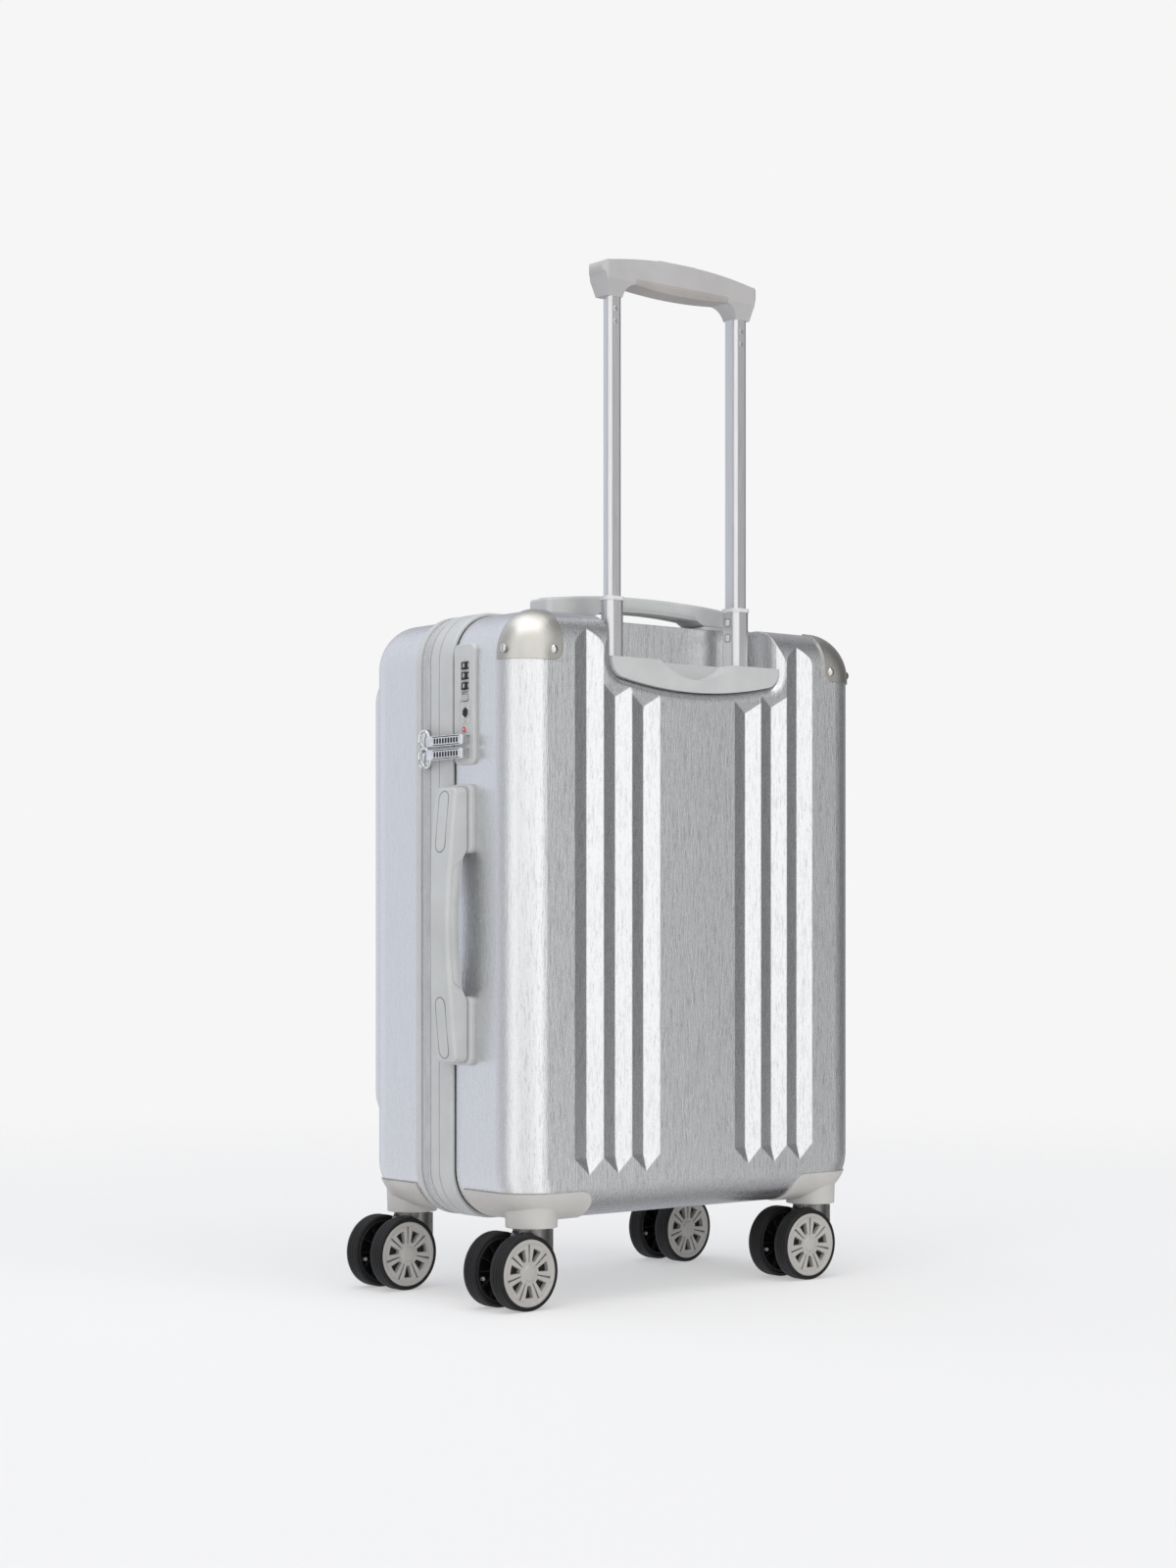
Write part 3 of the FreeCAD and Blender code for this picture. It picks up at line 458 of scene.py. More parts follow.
PULL_DARK = metal("dark_chrome", (0.03, 0.03, 0.03), (0.07, 0.07, 0.07), 0.22, (400, 400, 400), 0.01)
DIAL = moulded("dial_black", (0.006, 0.006, 0.006), (0.015, 0.015, 0.015), 0.30, depth=0.005)
RED = moulded("red_indicator", (0.50, 0.03, 0.02), (0.70, 0.05, 0.03), 0.30, depth=0.004)
WHITE = moulded("numeral_white", (0.74, 0.74, 0.74), (0.85, 0.85, 0.85), 0.5, depth=0.004)
TAPE = woven("zip_tape_weave", (0.42, 0.42, 0.43), (0.66, 0.66, 0.67), 1100, 0.12)
COIL = moulded("zip_coil", (0.50, 0.50, 0.52), (0.62, 0.62, 0.64), 0.38, depth=0.01)
THREAD = moulded("stitch_thread", (0.20, 0.20, 0.21), (0.30, 0.30, 0.31), 0.8, 2500, 0.05)
SEAM_SHADE = moulded("seam_shade", (0.15, 0.15, 0.15), (0.20, 0.20, 0.20), 0.7)
LINING = woven("lining_weave", (0.10, 0.105, 0.115), (0.26, 0.27, 0.29), 600, 0.12)

# finish of each CAD node that stays in view, by the start of its name
NODE_FINISHES = (
    ("back_shell", SHELL), ("front_shell", SHELL), ("front_rim", TRIM), ("back_frame_band", TRIM),
    ("trolley_bezel", TRIM), ("top_handle_mounts", TRIM), ("side_handle_mounts", TRIM),
    ("top_handle", TRIM), ("side_handle", TRIM), ("lock_plate", TRIM), ("lock_button", GRIP),
    ("lock_dial", DIAL), ("key_cylinder", DIAL), ("corner_guards", GUARD), ("guard_screws", STEEL),
    ("grip_rivets", STEEL), ("trolley_outer_frame", TUBES), ("middle_tubes", TUBES), ("upper_tubes", TUBES),
    ("tube_collars", COLLAR), ("grip_insert", GRIP_PAD), ("grip", GRIP), ("release_button", GRIP),
    ("wheel_housings", HOUSING), ("caster_fork", FORK), ("caster_axle", STEEL), ("wheel_tyre", TYRE),
    ("wheel_hub", HUB_CAP), ("zip_slider", CHROME), ("zip_pull", CHROME), ("zip_tape", TAPE),
    ("lining", LINING), ("lid_hinge_strip", LINING),
)


def finish_cad_nodes():
    for name, node in NODES.items():
        for start, material in NODE_FINISHES:
            if name.startswith(start):
                node.data.materials.clear()
                node.data.materials.append(material)
                break
        else:
            raise ValueError("no finish for " + name)


# ---------------------------------------------------------------- mesh helpers
def piece(name, points, faces, materials, body, slot, sharp=35.0, indices=None):
    """A mesh piece from frame-metre points that rides on a body."""
    mesh = bpy.data.meshes.new(name)
    mesh.from_pydata([tuple(p) for p in points], [], faces)
    for material in materials if isinstance(materials, (list, tuple)) else [materials]:
        mesh.materials.append(material)
    if indices:
        mesh.polygons.foreach_set("material_index", indices)
    mesh.shade_smooth()
    mesh.set_sharp_from_angle(angle=math.radians(sharp))
    mesh.update()
    obj = bpy.data.objects.new(name, mesh)
    bpy.context.scene.collection.objects.link(obj)
    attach(obj, body)
    return obj


def rows_to_faces(rows, columns, close_rows, close_columns):
    """Quads of a grid whose points are stored row by row."""
    faces = []
    for i in range(rows if close_rows else rows - 1):
        for j in range(columns if close_columns else columns - 1):
            a = i * columns + j
            b = i * columns + (j + 1) % columns
            c = ((i + 1) % rows) * columns + (j + 1) % columns
            d = ((i + 1) % rows) * columns + j
            faces.append((a, b, c, d))
    return faces


def case_outline(inset, count):
    """Evenly spaced (x, z, outward x, outward z) round the case outline, seen from +Y."""
    half = CASE_HALF_W - inset
    low = CASE_Z0 + inset
    high = CASE_Z1 - inset
    radius = max(CORNER_R - inset, 1.0)
    width = 2 * (half - radius)
    height = high - low - 2 * radius
    arc = radius * math.pi / 2
    total = 2 * (width + height + 2 * arc)
    corners = ((half - radius, low + radius, -90), (half - radius, high - radius, 0),
               (-half + radius, high - radius, 90), (-half + radius, low + radius, 180))
    runs = (width, height, width, height)
    points = []
    for i in range(count):
        s = total * i / count
        for (cx, cz, start), run in zip(corners, runs):
            angle = math.radians(start)
            along = (-math.sin(angle), math.cos(angle))
            if s < run:
                nx, nz = math.cos(angle), math.sin(angle)
                back = run - s
                points.append((cx + radius * nx - back * along[0],
                               cz + radius * nz - back * along[1], nx, nz))
                break
            s -= run
            if s < arc:
                turn = angle + s / radius
                points.append((cx + radius * math.cos(turn), cz + radius * math.sin(turn),
                               math.cos(turn), math.sin(turn)))
                break
            s -= arc
    return points


def ring_sweep(name, section, count, materials, body, slot):
    """Sweep a closed (outward, y) section round the case outline."""
    points = []
    for x, z, nx, nz in case_outline(0.0, count):
        for out, y in section:
            points.append(mm(x + nx * out, y, z + nz * out))
    faces = rows_to_faces(count, len(section), True, True)
    return piece(name, points, faces, materials, body, slot)


def tube_points(path, radius, closed, sides):
    """Points of a round tube round a path of drawing-space vectors."""
    count = len(path)
    points = []
    for i, here in enumerate(path):
        ahead = path[(i + 1) % count] if closed or i + 1 < count else here
        behind = path[i - 1] if closed or i > 0 else here
        along = (ahead - behind).normalized()
        side = along.cross(Vector((0, 0, 1)))
        if side.length < 0.2:
            side = along.cross(Vector((1, 0, 0)))
        side.normalize()
        up = side.cross(along)
        for k in range(sides):
            angle = math.tau * k / sides
            points.append(here + side * (radius * math.cos(angle)) + up * (radius * math.sin(angle)))
    return points, rows_to_faces(count, sides, closed, True)


def revolve(profile, count):
    """Points and faces of a closed (radius, y) profile turned about the Y axis."""
    points = []
    for i in range(count):
        angle = math.tau * i / count
        for radius, y in profile:
            points.append(Vector((radius * math.sin(angle), y, radius * math.cos(angle))))
    return points, rows_to_faces(count, len(profile), True, True)


def rounded_outline(width, height, radius, steps=6):
    """Outline of a rounded rectangle centred on the origin."""
    outline = []
    for cx, cy, start in ((1, 1, 0), (-1, 1, 90), (-1, -1, 180), (1, -1, 270)):
        for k in range(steps + 1):
            angle = math.radians(start + 90 * k / steps)
            outline.append((cx * (width / 2 - radius) + radius * math.cos(angle),
                            cy * (height / 2 - radius) + radius * math.sin(angle)))
    return outline


def crowned_plate(width, height, radius, place, thickness, edge, crown=0.0):
    """A rounded rectangle with rolled edges. place(u, v, w) gives the frame point at height w."""
    rings = [(0.0, 0.0)]
    for k in range(5):
        angle = math.radians(22.5 * k)
        rings.append((edge * (1 - math.cos(angle)), thickness - edge * (1 - math.sin(angle))))
    short = min(width, height) / 2
    rings += [(short * 0.5, thickness + crown * 0.7), (short * 0.8, thickness + crown)]
    points = []
    for inset, level in rings:
        outline = rounded_outline(width - 2 * inset, height - 2 * inset, max(radius - inset, 0.1))
        points += [place(u, v, level) for u, v in outline]
    count = len(outline)
    faces = rows_to_faces(len(rings), count, False, True)
    faces.append(tuple(range(count))[::-1])
    faces.append(tuple((len(rings) - 1) * count + k for k in range(count)))
    return points, faces


def join_parts(parts):
    """One list of points and faces from several."""
    points = []
    faces = []
    for some_points, some_faces in parts:
        start = len(points)
        points += list(some_points)
        faces += [tuple(start + k for k in face) for face in some_faces]
    return points, faces


# ---------------------------------------------------------------- zip tapes, coil and stitches
def tooth(x, z, nx, nz, y0, y1, low, high):
    """One coil turn: a bar across the tape with a narrower crown."""
    along = (-nz, nx)
    wide, narrow = TOOTH_HALF
    points = []
    for out, half, trim in ((low, wide, 0.0), (high - 0.3, wide, 0.0), (high, narrow, 0.35)):
        step = trim if y1 > y0 else -trim
        for y in (y0 + step, y1 - step):
            for end in (-half, half):
                points.append(mm(x + nx * out + along[0] * end, y, z + nz * out + along[1] * end))
    faces = [(0, 1, 3, 2)]
    for base in (0, 4):
        for a, b in ((0, 1), (1, 3), (3, 2), (2, 0)):
            faces.append((base + a, base + b, base + 4 + b, base + 4 + a))
    faces.append((8, 9, 11, 10))
    return points, faces


def bars(outline, y, way, bar):
    """The same bar at each place of the outline, so far from y in the given way."""
    start, end, low, high = bar
    return [tooth(*place, y + way * start, y + way * end, low, high) for place in outline]


def on_hinge(x, z):
    return x < -CASE_HALF_W + 1 and HINGE_Z[0] < z < HINGE_Z[1]


def make_zip():
    sides = (
        ("zip_tape_front", "lid", TAPE_FRONT_Y + 0.05, ZIP_SPLIT_Y - 0.12, -1),
        ("zip_tape_back", "case_back", TAPE_BACK_Y - 0.05, ZIP_SPLIT_Y + 0.12, 1),
    )
    for node, body, y_edge, y_split, side in sides:
        inner = y_split + side * 3.0
        section = [(-0.1, y_edge), (1.7, y_edge), (2.0, y_edge - side * 0.5), (2.2, inner), (2.45, y_split),
                   (-0.1, y_split)]
        if side > 0:
            section.reverse()
        tape = ring_sweep(node + "_cloth", section, TAPE_STEPS, TAPE, body, "zip_tape")
        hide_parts(node)
        first = 0 if side > 0 else 1
        run = [place for place in case_outline(0.0, 2 * TEETH)[first::2] if not on_hinge(*place[:2])]
        teeth = bars(run, y_split, side, COIL_BAR)
        stitches = bars(run, y_split, side, SEWN_BAR)
        if side < 0:
            stitches += bars(case_outline(0.0, EDGE_STITCHES), y_edge, -side, EDGE_BAR)
        piece(node.replace("tape", "coil"), *join_parts(teeth), COIL, body, "zip_tape", 60)
        piece(node.replace("tape", "stitches"), *join_parts(stitches), THREAD, body, "zip_tape", 60)


def make_gap_gasket():
    """Dark strip in the groove between the frame band and the back shell: painted shade standing in for the
    groove's shadow line.
    """
    y0, y1 = GAP_Y
    section = [(-2.0, y0), (0.1, y0), (0.25, (y0 + y1) / 2), (0.1, y1), (-2.0, y1)]
    ring_sweep("seam_painted_shade", section, 480, DARK, "case_back", "tyre")


# ---------------------------------------------------------------- zip sliders and pulls
def make_slider(word, up):
    """Slider body with its bridge, then the oval ring and plate that swing on the bridge."""
    zc = SLIDER_Z[word]
    slider_body = "zip_slider_" + word
    pull_body = "zip_pull_" + word

    def on_slider(u, v, w):
        taper = 1 - SLIDER_TAPER * (0.5 - v / SLIDER_L)
        return mm(SLIDER_X + w, SLIDER_Y + u * taper, zc + up * (SLIDER_AHEAD + v))

    plate = crowned_plate(SLIDER_W, SLIDER_L, 3.2, on_slider, SLIDER_H, 1.0, 0.3)
    arch = [Vector((SLIDER_X + x, SLIDER_Y, zc + up * z)) for x, z in BRIDGE]
    loop, loop_faces = tube_points(arch, BRIDGE_R, False, 12)
    bridge = ([mm(*p) for p in loop], loop_faces)
    points, faces = join_parts([plate, bridge])
    body = piece("zip_slider_%s_body" % word, points, faces, CHROME, slider_body, "zip_chrome")
    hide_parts(slider_body)

    ring_path = []
    for k in range(40):
        angle = math.tau * k / 40
        ring_path.append(Vector((PULL_AXIS_X - 1.0 + 1.6 * math.sin(angle),
                                 RING_Y + RING_HALF_Y * math.cos(angle),
                                 zc + up * 1.6 + RING_HALF_Z * math.sin(angle))))
    ring, ring_faces = tube_points(ring_path, RING_R, True, 12)
    middle_y = (PULL_START_Y + PULL_END_Y) / 2

    def on_pull(u, v, w):
        return mm(PULL_AXIS_X - 1.1 + w, middle_y + u, zc + v)

    length = PULL_END_Y - PULL_START_Y
    parts = [([mm(*p) for p in ring], ring_faces),
             crowned_plate(length, PULL_H, 1.2, on_pull, 2.2, 0.5)]
    points, faces = join_parts(parts)
    pull = piece("zip_pull_%s_plate" % word, points, faces, CHROME, pull_body, "zip_chrome")
    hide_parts(pull_body)

    relief = []
    for offset in (-1, 1):
        def long_line(u, v, w, o=offset):
            return mm(PULL_AXIS_X + 1.0 + w, middle_y + 3.0 + u, zc + (v + o * 3.2))

        relief.append(crowned_plate(34.0, 0.7, 0.3, long_line, 0.3, 0.1))
    for k in range(PULL_RIDGES):
        def ridge(u, v, w, k=k):
            return mm(PULL_AXIS_X + 1.0 + w, middle_y + 3.0 + (u + (k - 4) * 3.6), zc + v)

        relief.append(crowned_plate(2.1, 4.2, 0.6, ridge, 0.35, 0.15))
    piece("zip_pull_%s_relief" % word, *join_parts(relief), PULL_DARK, pull_body, "zip_chrome")


# ---------------------------------------------------------------- lock
def make_dial_numbers():
    """Numerals round each dial, with 0 in the window."""
    for number, z in enumerate(DIAL_Z, 1):
        parts = []
        for digit in range(10):
            curve = bpy.data.curves.new("numeral", "FONT")
            curve.body = str(digit)
            curve.size = NUMERAL_SIZE
            curve.extrude = 0.05
            curve.align_x = "CENTER"
            curve.align_y = "CENTER"
            source = bpy.data.objects.new("numeral", curve)
            mesh = bpy.data.meshes.new_from_object(source)
            angle = math.radians(36 * digit)
            outward = Vector((math.cos(angle), math.sin(angle), 0))
            across = Vector((-math.sin(angle), math.cos(angle), 0))
            centre = Vector((DIAL_X, DIAL_Y, z)) + outward * (DIAL_R + 0.06)
            points = [mm(*(centre + across * v.co.x * NUMERAL_SQUEEZE + Vector((0, 0, v.co.y))
                           + outward * v.co.z)) for v in mesh.vertices]
            parts.append((points, [tuple(p.vertices) for p in mesh.polygons]))
            bpy.data.objects.remove(source)
            bpy.data.meshes.remove(mesh)
            bpy.data.curves.remove(curve)
        piece("lock_numerals_%d" % number, *join_parts(parts), WHITE, "lock_dial_%d" % number, "dial_black")


def disc_on_lock(name, y, z, radius, thickness, material, slot):
    def place(u, v, w):
        return mm(LOCK_FACE + 0.02 + w, y + u, z + v)

    disc = crowned_plate(2 * radius, 2 * radius, radius, place, thickness, thickness * 0.6, 0.1)
    piece(name, *disc, material, "case_back", slot)


def make_lock_details():
    ring = []
    for k in range(36):
        angle = math.tau * k / 36
        ring.append(Vector((LOCK_FACE + 0.1, KEY_Y + KEY_RING_R * math.cos(angle),
                            KEY_Z + KEY_RING_R * math.sin(angle))))
    points, faces = tube_points(ring, 0.5, True, 10)
    piece("key_ring", [mm(*p) for p in points], faces, STEEL, "case_back", "key_metal")
    frame_path = [Vector((LOCK_FACE, KEY_Y + u, KEY_Z + 1.0 + v))
                  for u, v in rounded_outline(14.0, 19.0, 3.0)]
    points, faces = tube_points(frame_path, 0.28, True, 8)
    piece("key_surround", [mm(*p) for p in points], faces, TRIM, "case_back", "lock_plastic")
    marks = []
    for k in range(5):
        angle = math.radians(-36 + 18 * k)
        cy, cz = KEY_Y + KEY_MARK_R * math.cos(angle), KEY_Z + KEY_MARK_R * math.sin(angle)

        def mark(u, v, w, a=angle, y=cy, z=cz):
            return mm(LOCK_FACE + w, y + u * math.cos(a) - v * math.sin(a),
                      z + u * math.sin(a) + v * math.cos(a))

        marks.append(crowned_plate(0.9, 0.35, 0.12, mark, 0.12, 0.05))
    piece("key_marks", *join_parts(marks), DARK, "case_back", "dial_black")
    disc_on_lock("key_dot", KEY_Y, KEY_Z - 6.6, 0.6, 0.2, RED, "dial_black")
    disc_on_lock("lock_indicator_rim", DIAL_Y - 0.5, INDICATOR_Z, 2.9, 0.5, STEEL, "key_metal")
    disc_on_lock("lock_indicator", DIAL_Y - 0.5, INDICATOR_Z, 2.4, 0.8, RED, "dial_black")
    disc_on_lock("lock_indicator_centre", DIAL_Y - 0.5, INDICATOR_Z, 1.0, 1.05, WHITE, "dial_black")
    bars = []
    pitch = DIAL_Z[0] - DIAL_Z[1]
    for z in DIAL_Z:
        for dz in (-1, 1):
            def bar(u, v, w, z=z + dz * pitch * 0.44):
                return mm(LOCK_FACE + w, DIAL_Y + u, z + v)

            bars.append(crowned_plate(10.6, 0.6, 0.25, bar, 0.25, 0.1))
    piece("dial_window_bars", *join_parts(bars), TRIM, "case_back", "lock_plastic")


# ---------------------------------------------------------------- wheels
def hub_cap_shape():
    """Outer cap: rim, seven pairs of spokes with windows between them, and a crowned centre.

    The tones say which faces take the second material: 1 for the dark floors of the windows, dark partly as
    the black core seen through them and partly as painted shade in the openings.
    """
    sector = math.tau / (2 * HUB_SPOKES)
    top = WHEEL_HALF - 0.2
    deep = top - 4.6
    slot_deep = top - 3.6
    # radius, height of the spokes there, whether windows and slots are open
    rows = ((3.2, top + 0.5, 0, 0), (5.2, top + 0.3, 0, 0), (6.0, top - 0.6, 0, 0), (7.2, top - 0.9, 0, 0),
            (8.4, top - 0.8, 0, 0), (8.5, top - 0.8, 0, 1), (9.4, top - 0.7, 0, 1), (9.5, top - 0.7, 1, 1),
            (11.5, top - 0.6, 1, 1), (14.0, top - 0.5, 1, 1), (17.0, top - 0.5, 1, 1),
            (18.9, top - 0.5, 1, 1), (19.0, top - 0.5, 0, 1), (21.7, top - 0.5, 0, 1),
            (21.8, top - 0.5, 0, 0), (22.6, top - 0.4, 0, 0), (23.2, top + 0.15, 0, 0),
            (24.9, top + 0.2, 0, 0), (25.6, top - 0.3, 0, 0), (25.7, 2.0, 0, 0))
    points = [Vector((0, top + 0.6, 0))]
    tones = []
    faces = []
    for radius, height, window, slot in rows:
        reach = max(0.0, min(1.0, (radius - 8.0) / 13.0))
        slot_half = min((0.38 + 0.42 * reach) / radius, sector * 0.2)
        spoke_half = min((2.5 + 2.3 * reach) / radius, sector * 0.85)
        turns = (0.0, slot_half, slot_half + 0.004, (slot_half + spoke_half) / 2, spoke_half,
                 min(spoke_half + 0.006, sector * 0.98), (spoke_half + sector) / 2, sector)
        levels = []
        for k, turn in enumerate(turns):
            level = height
            if window and k >= 5:
                level = deep
            if slot and k <= 1:
                level = slot_deep
            if k == 3 and (window or slot):
                level = height + 0.35
            levels.append((turn, level))
        ring = []
        for spoke in range(HUB_SPOKES):
            centre = math.tau * spoke / HUB_SPOKES
            ring += [(centre - turn, level) for turn, level in reversed(levels[1:])]
            ring += [(centre + turn, level) for turn, level in levels[:-1]]
        columns = len(ring)
        for turn, level in ring:
            points.append(Vector((radius * math.sin(turn), level, radius * math.cos(turn))))
    for j in range(columns):
        faces.append((0, 1 + j, 1 + (j + 1) % columns))
        tones.append(0)
    for i in range(len(rows) - 1):
        for j in range(columns):
            a = 1 + i * columns + j
            b = 1 + i * columns + (j + 1) % columns
            face = (a, a + columns, b + columns, b)
            faces.append(face)
            highest = max(points[v].y for v in face)
            # window floors: the black core's colour and painted shade of the openings
            tones.append(1 if highest < deep + 0.2 else 0)
    return points, faces, tones


def hub_inside_shape():
    """Black inner side: drum, ribs and a small screw boss, open towards the fork."""
    half = WHEEL_HALF
    profile = [(25.7, 1.9), (25.7, -half + 0.6), (25.1, -half), (23.6, -half), (23.2, -half + 0.5),
               (23.0, HUB_WEB_Y), (7.2, HUB_WEB_Y), (7.0, -half + 0.4), (6.6, -half), (2.7, -half),
               (2.7, 1.6)]
    parts = [revolve(profile, 84)]
    for k in range(HUB_RIBS):
        angle = math.tau * k / HUB_RIBS
        outward = Vector((math.sin(angle), 0, math.cos(angle)))
        across = Vector((math.cos(angle), 0, -math.sin(angle)))

        def place(u, v, w, o=outward, c=across):
            return o * (HUB_RIB_R + u) + c * v + Vector((0, HUB_WEB_Y - w, 0))

        parts.append(crowned_plate(16.6, 1.1, 0.3, place, 4.4, 0.3))
    return join_parts(parts)


def tyre_shape():
    half = WHEEL_HALF
    outer = WHEEL_R
    profile = [(HUB_R - 0.15, -half + 0.6), (HUB_R + 0.6, -half), (outer - 2.0, -half),
               (outer - 0.9, -half + 0.3), (outer - 0.2, -half + 1.1), (outer, -half + 2.4),
               (outer, -2.0), (outer - 0.35, -1.8), (outer - 0.35, -1.4), (outer, -1.2),
               (outer, 1.2), (outer - 0.35, 1.4), (outer - 0.35, 1.8), (outer, 2.0),
               (outer, half - 2.4), (outer - 0.2, half - 1.1), (outer - 0.9, half - 0.3),
               (outer - 2.0, half), (HUB_R + 0.6, half), (HUB_R - 0.15, half - 0.6)]
    return revolve(profile, 120)


def make_wheels():
    cap_points, cap_faces, tones = hub_cap_shape()
    inside_points, inside_faces = hub_inside_shape()
    tyre_points, tyre_faces = tyre_shape()
    screws = []
    for turn in (10, 130, 250):
        across = HUB_SCREW_R * math.sin(math.radians(turn))
        up = HUB_SCREW_R * math.cos(math.radians(turn))

        def on_web(u, v, w, a=across, b=up):
            return Vector((a + u, HUB_WEB_Y - w, b + v))

        screws.append(crowned_plate(3.0, 3.0, 1.45, on_web, 2.4, 0.5))
    screw_points, screw_faces = join_parts(screws)
    for name, (x, y, turn) in CASTERS.items():
        for end, side in (("rear", 1), ("front", -1)):
            label = "%s_%s" % (name, end)
            body = "wheel_" + label
            spin = Matrix.Rotation(math.radians(turn), 3, "Z")
            face = Matrix.Rotation(math.pi if side < 0 else 0.0, 3, "Z")
            centre = Vector((CASTER_TRAIL, side * WHEEL_Y, WHEEL_R))

            def placed(points):
                turned = [spin @ (face @ p + centre) for p in points]
                return [mm(q.x + x, q.y + y, q.z) for q in turned]

            cap = piece("hub_cap_" + label, placed(cap_points), cap_faces, [HUB_CAP, DARK], body,
                        "wheel_plastic", 34, tones)
            inside = piece("hub_inside_" + label, placed(inside_points), inside_faces, DARK, body, "tyre")
            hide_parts("wheel_hub_" + label)
            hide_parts("wheel_hub_" + label)
            # The screws take the light collar plastic: painted glint standing in for the highlight on their
            # shiny heads.
            piece("hub_screw_glint_" + label, placed(screw_points), screw_faces, COLLAR, body, "axle_steel")
            tyre = piece("tyre_" + label, placed(tyre_points), tyre_faces, TYRE, body, "tyre")
            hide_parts("wheel_tyre_" + label)


# ---------------------------------------------------------------- carry handles
def handle_top(x):
    """Height of the handle's bowed top above the case."""
    rise = HANDLE_TOP - HANDLE_END_TOP
    radius = (HANDLE_HALF_L ** 2 + rise ** 2) / (2 * rise)
    return HANDLE_TOP - radius + math.sqrt(radius ** 2 - x * x)


def handle_under(x):
    return HANDLE_LOW + 6.4 - 2.2 * (x / INSERT_HALF_L) ** 2


def handle_half_width(x):
    return HANDLE_HALF_W - HANDLE_WAIST * max(0.0, 1 - (x / WAIST_HALF_L) ** 2)


def on_top(x, y, z):
    return mm(x, HANDLE_Y + y, CASE_Z1 + z)


def on_side(x, y, z):
    return mm(CASE_HALF_W + z, HANDLE_Y + y, SIDE_HANDLE_Z - x)


def mirrored(section):
    return [(-y, z) for y, z in reversed(section)]


def make_handle_details(name, place, body):
    """Soft insert wrapped under the middle of the handle, and a low cover at each end."""
    points = []
    steps = 48
    for i in range(steps + 1):
        t = -1 + 2 * i / steps
        x_mid = INSERT_HALF_L * t
        half = handle_half_width(x_mid)
        seam = handle_top(x_mid) - SEAM_DEPTH
        low = handle_under(x_mid)
        outer = [(half + 0.35, seam), (half + 0.7, seam - 0.8), (half + 0.8, (seam + low) / 2),
                 (half + 0.4, low + 1.4), (half - 1.2, low - 0.3), (half * 0.4, low - 0.6)]
        inner = [(half - 0.8, low + 0.9), (half - 0.4, seam)]
        section = outer + mirrored(outer) + mirrored(inner) + inner
        for y, z in section:
            x = t * (INSERT_HALF_L - INSERT_SKEW * (z - HANDLE_LOW - INSERT_LEVEL))
            points.append(place(x, y, z))
    count = len(section)
    faces = rows_to_faces(steps + 1, count, False, True)
    faces.append(tuple(range(count))[::-1])
    faces.append(tuple(steps * count + k for k in range(count)))
    piece(name + "_insert", points, faces, HANDLE_INSERT, body, "trim_plastic", 50)
    for side, word in ((1, "a"), (-1, "b")):
        def cover(u, v, w, s=side):
            x = s * COVER_X + u
            return place(x, v, handle_top(x) - 0.5 + w)

        plate = crowned_plate(46.0, 11.4, 5.6, cover, 0.9, 0.35)
        piece("%s_cover_%s" % (name, word), *plate, TRIM, body, "trim_plastic")
        # Dark line round each cover: painted shade of the gap between cover and handle.
        rim = []
        for u, v in rounded_outline(47.0, 12.4, 6.1):
            x = side * COVER_X + u
            rim.append(Vector((x, v, handle_top(x) - 0.02)))
        line, line_faces = tube_points(rim, 0.3, True, 8)
        piece("%s_cover_gap_%s" % (name, word), [place(*p) for p in line], line_faces, SEAM_SHADE, body,
              "tyre")


# ---------------------------------------------------------------- tube marks
def make_crimp_marks():
    """Two square crimps, one above the other, on the side of one trolley tube."""
    for number, z in enumerate(CRIMP_Z, 1):
        def place(u, v, w, z=z):
            return mm(CRIMP_X - 0.05 + w, TUBE_Y + u, z + v)

        # Dark line round each crimp: painted shade at its pressed edge.
        path = [Vector((CRIMP_X + 0.02, TUBE_Y + u, z + v)) for u, v in rounded_outline(6.0, 6.4, 1.2)]
        edge, edge_faces = tube_points(path, 0.28, True, 8)
        piece("tube_crimp_edge_%d" % number, [mm(*p) for p in edge], edge_faces, SEAM_SHADE,
              "trolley_middle", "tube_aluminium")
        plate = crowned_plate(4.8, 5.2, 1.0, place, 0.3, 0.15)
        piece("tube_crimp_%d" % number, *plate, COLLAR, "trolley_middle", "tube_aluminium")


# ---------------------------------------------------------------- linings
def cloth_slack(x, y, z):
    here = Vector((x, y, z))
    return SLACK * (noise.noise(here * 0.022) + 0.5 * noise.noise(here * 0.06))


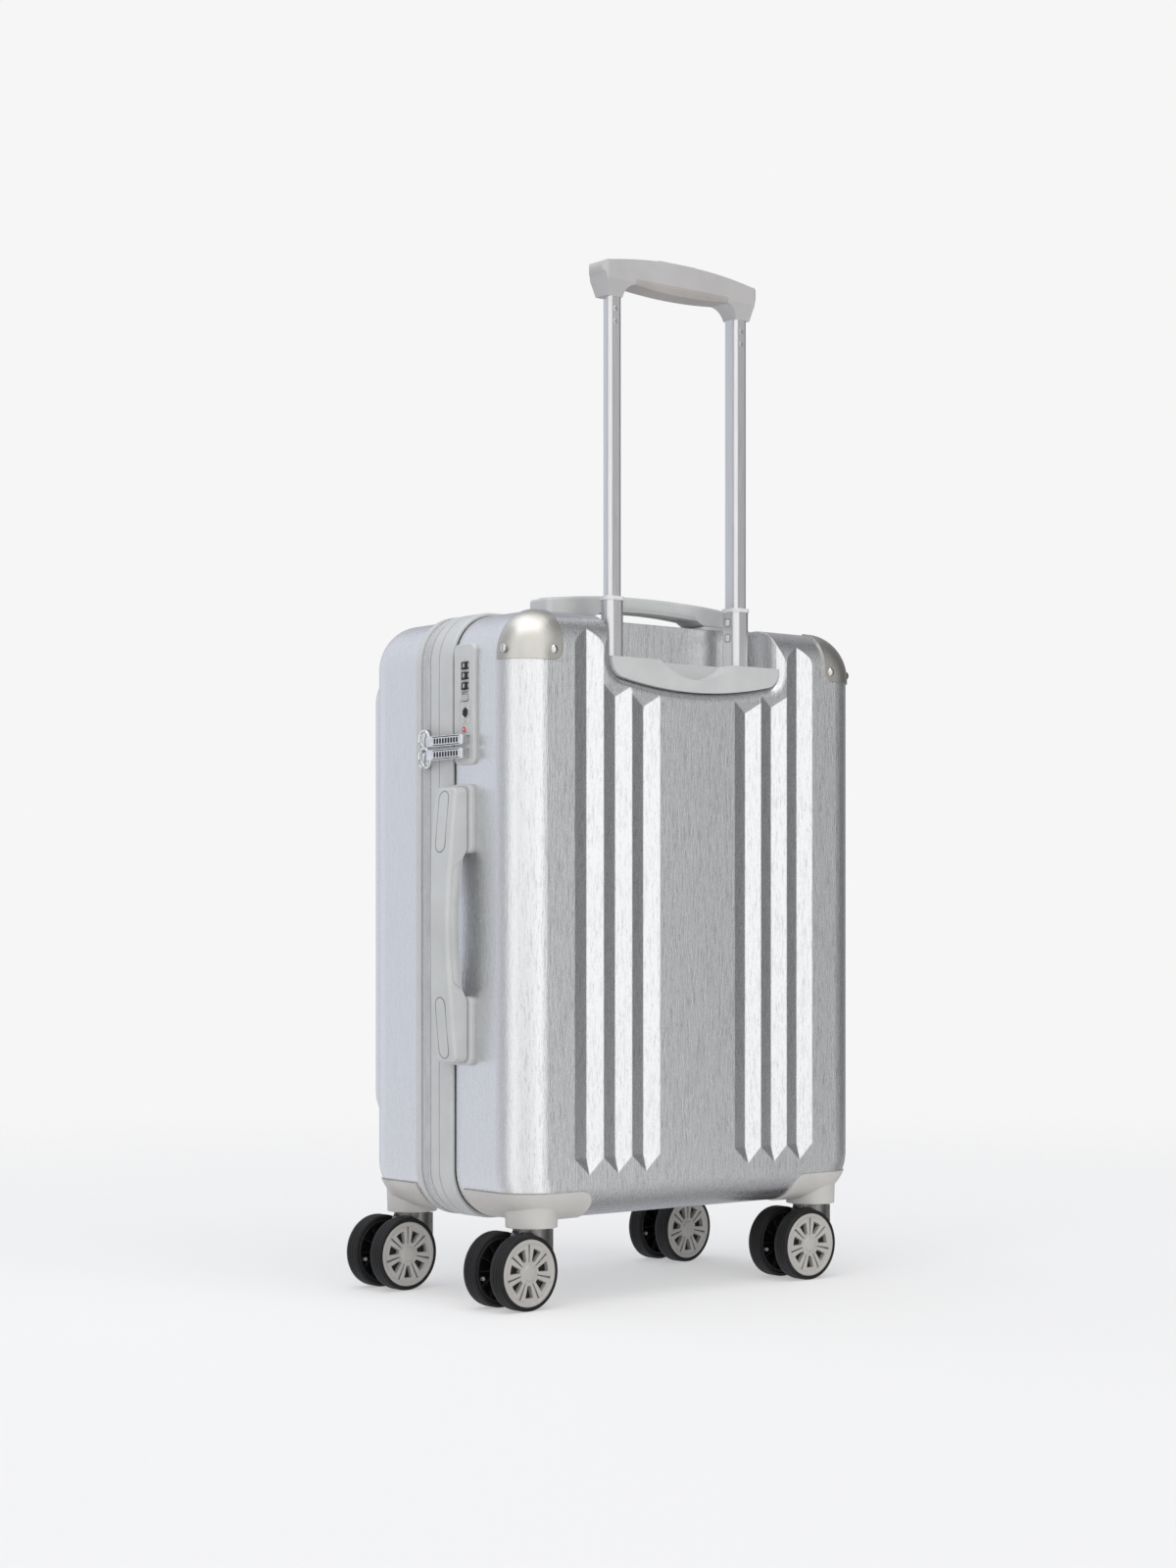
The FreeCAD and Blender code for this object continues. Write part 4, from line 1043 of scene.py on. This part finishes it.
def lining(name, body, y_rim, y_end, hollows):
    """Sewn cloth lining that follows the inside of one half, with slack and a piped rim.

    The back half's lining also keeps clear of the trolley bezel's hollow and the lock's housing.
    """
    count = 260
    side = 1 if y_end > y_rim else -1
    depth = abs(y_end - y_rim)
    rows = []
    for k in range(9):
        rows.append((LINING_INSET, (depth - LINING_EDGE_R) * k / 8))
    for k in range(1, 9):
        angle = math.radians(90 * k / 8)
        rows.append((LINING_INSET + LINING_EDGE_R * (1 - math.cos(angle)),
                     depth - LINING_EDGE_R * (1 - math.sin(angle))))
    for k in range(1, 15):
        rows.append((LINING_INSET + LINING_EDGE_R + (LINING_REACH_IN - LINING_EDGE_R) * k / 14, depth))
    points = []
    for inset, reach in rows:
        for x, z, nx, nz in case_outline(inset, count):
            y = y_rim + side * reach
            slack = cloth_slack(x, y, z) if inset <= LINING_CALM else 0.0
            pull = min(1.0, reach / 12.0)
            x -= nx * (SLACK + slack) * pull
            z -= nz * (SLACK + slack) * pull
            if reach > depth - 1:
                y -= side * (1.0 + slack)
            if hollows and abs(x) < BEZEL_HALF_W and z > BEZEL_Z:
                blend = min(1.0, (BEZEL_HALF_W - abs(x)) / 6, (z - BEZEL_Z) / 6)
                y = min(y, BEZEL_Y - BEZEL_DEPTH * blend)
            if hollows and x > LOCK_X and LOCK_Z[0] < z < LOCK_Z[1] and y < LOCK_Y:
                x = min(x, LOCK_INSIDE_X)
            points.append(mm(x, y, z))
    faces = rows_to_faces(len(rows), count, False, True)
    faces.append(tuple((len(rows) - 1) * count + k for k in range(count)))
    if side > 0:
        faces = [face[::-1] for face in faces]
    cloth = piece(name + "_cloth", points, faces, LINING, body, "lining", 80)
    solid = cloth.modifiers.new("thickness", "SOLIDIFY")
    solid.thickness = 0.0008
    solid.offset = -1.0
    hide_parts(name)
    path = [Vector((x, y_rim + side * 1.0, z)) for x, z, nx, nz in case_outline(6.2, 300)]
    rim, rim_faces = tube_points(path, 0.9, True, 8)
    piece(name + "_piping", [mm(*p) for p in rim], rim_faces, LINING, body, "lining")


def make_hinge_strip():
    """Cloth hinge inside the plain side."""
    rows, columns = 60, 24
    points = []
    for i in range(rows):
        z = STRIP_Z[0] + (STRIP_Z[1] - STRIP_Z[0]) * i / (rows - 1)
        for j in range(columns):
            y = STRIP_Y[0] + (STRIP_Y[1] - STRIP_Y[0]) * j / (columns - 1)
            wave_out = 0.35 * noise.noise(Vector((y, 3.0, z)) * 0.05)
            points.append(mm(STRIP_X + wave_out, y, z))
    strip = bpy.data.meshes.new("lid_hinge_cloth")
    strip.from_pydata([tuple(p) for p in points], [], rows_to_faces(rows, columns, False, False))
    strip.materials.append(LINING)
    strip.shade_smooth()
    obj = bpy.data.objects.new("lid_hinge_cloth", strip)
    bpy.context.scene.collection.objects.link(obj)
    solid = obj.modifiers.new("thickness", "SOLIDIFY")
    solid.thickness = 0.0007
    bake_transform(obj)
    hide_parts("lid_hinge_strip")


def make_floor():
    """Pale floor that fades out with distance, so that no horizon shows."""
    mesh = bpy.data.meshes.new("floor")
    mesh.from_pydata([(-6, -6, 0), (6, -6, 0), (6, 6, 0), (-6, 6, 0)], [], [(0, 1, 2, 3)])
    finish = Finish("studio_floor", (0.50, 0.50, 0.50), 0.8, 0.0, Emission_Color=(0.92, 0.92, 0.92, 1),
                    Emission_Strength=0.42)
    nodes, links = finish.nodes, finish.links
    away = nodes.new("ShaderNodeVectorMath")
    away.operation = "LENGTH"
    links.new(finish.coordinates((1, 1, 1)), away.inputs[0])
    fade = nodes.new("ShaderNodeMapRange")
    fade.interpolation_type = "SMOOTHSTEP"
    fade.inputs["From Min"].default_value = 0.5
    fade.inputs["From Max"].default_value = 2.2
    links.new(away.outputs["Value"], fade.inputs["Value"])
    path = nodes.new("ShaderNodeLightPath")
    dim = nodes.new("ShaderNodeMath")
    dim.operation = "MULTIPLY"
    dim.inputs[1].default_value = 0.8
    links.new(path.outputs["Is Glossy Ray"], dim.inputs[0])
    clear = nodes.new("ShaderNodeBsdfTransparent")
    mix = nodes.new("ShaderNodeMixShader")
    links.new(finish.combine(fade.outputs["Result"], dim.outputs["Value"], "MAXIMUM"), mix.inputs["Fac"])
    links.new(finish.shader.outputs["BSDF"], mix.inputs[1])
    links.new(clear.outputs["BSDF"], mix.inputs[2])
    links.new(mix.outputs["Shader"], nodes["Material Output"].inputs["Surface"])
    mesh.materials.append(finish.material)
    floor = bpy.data.objects.new("floor", mesh)
    bpy.context.scene.collection.objects.link(floor)


make_camera()
make_world()
area_light("overhead", (0.2, 0.3, 3.0), (0, 0, 0), (2.6, 2.6), 30)
area_light("key", (1.5, 2.3, 1.3), (0, 0, 0.35), (1.2, 2.2), 3)
make_floor()
finish_cad_nodes()
make_zip()
make_gap_gasket()
make_slider("upper", 1)
make_slider("lower", -1)
make_dial_numbers()
make_lock_details()
make_wheels()
make_handle_details("top_handle", on_top, "top_handle")
make_handle_details("side_handle", on_side, "side_handle")
make_crimp_marks()
lining("lining_back", "case_back", *BACK_LINING_Y, True)
lining("lining_front", "lid", *FRONT_LINING_Y, False)
make_hinge_strip()
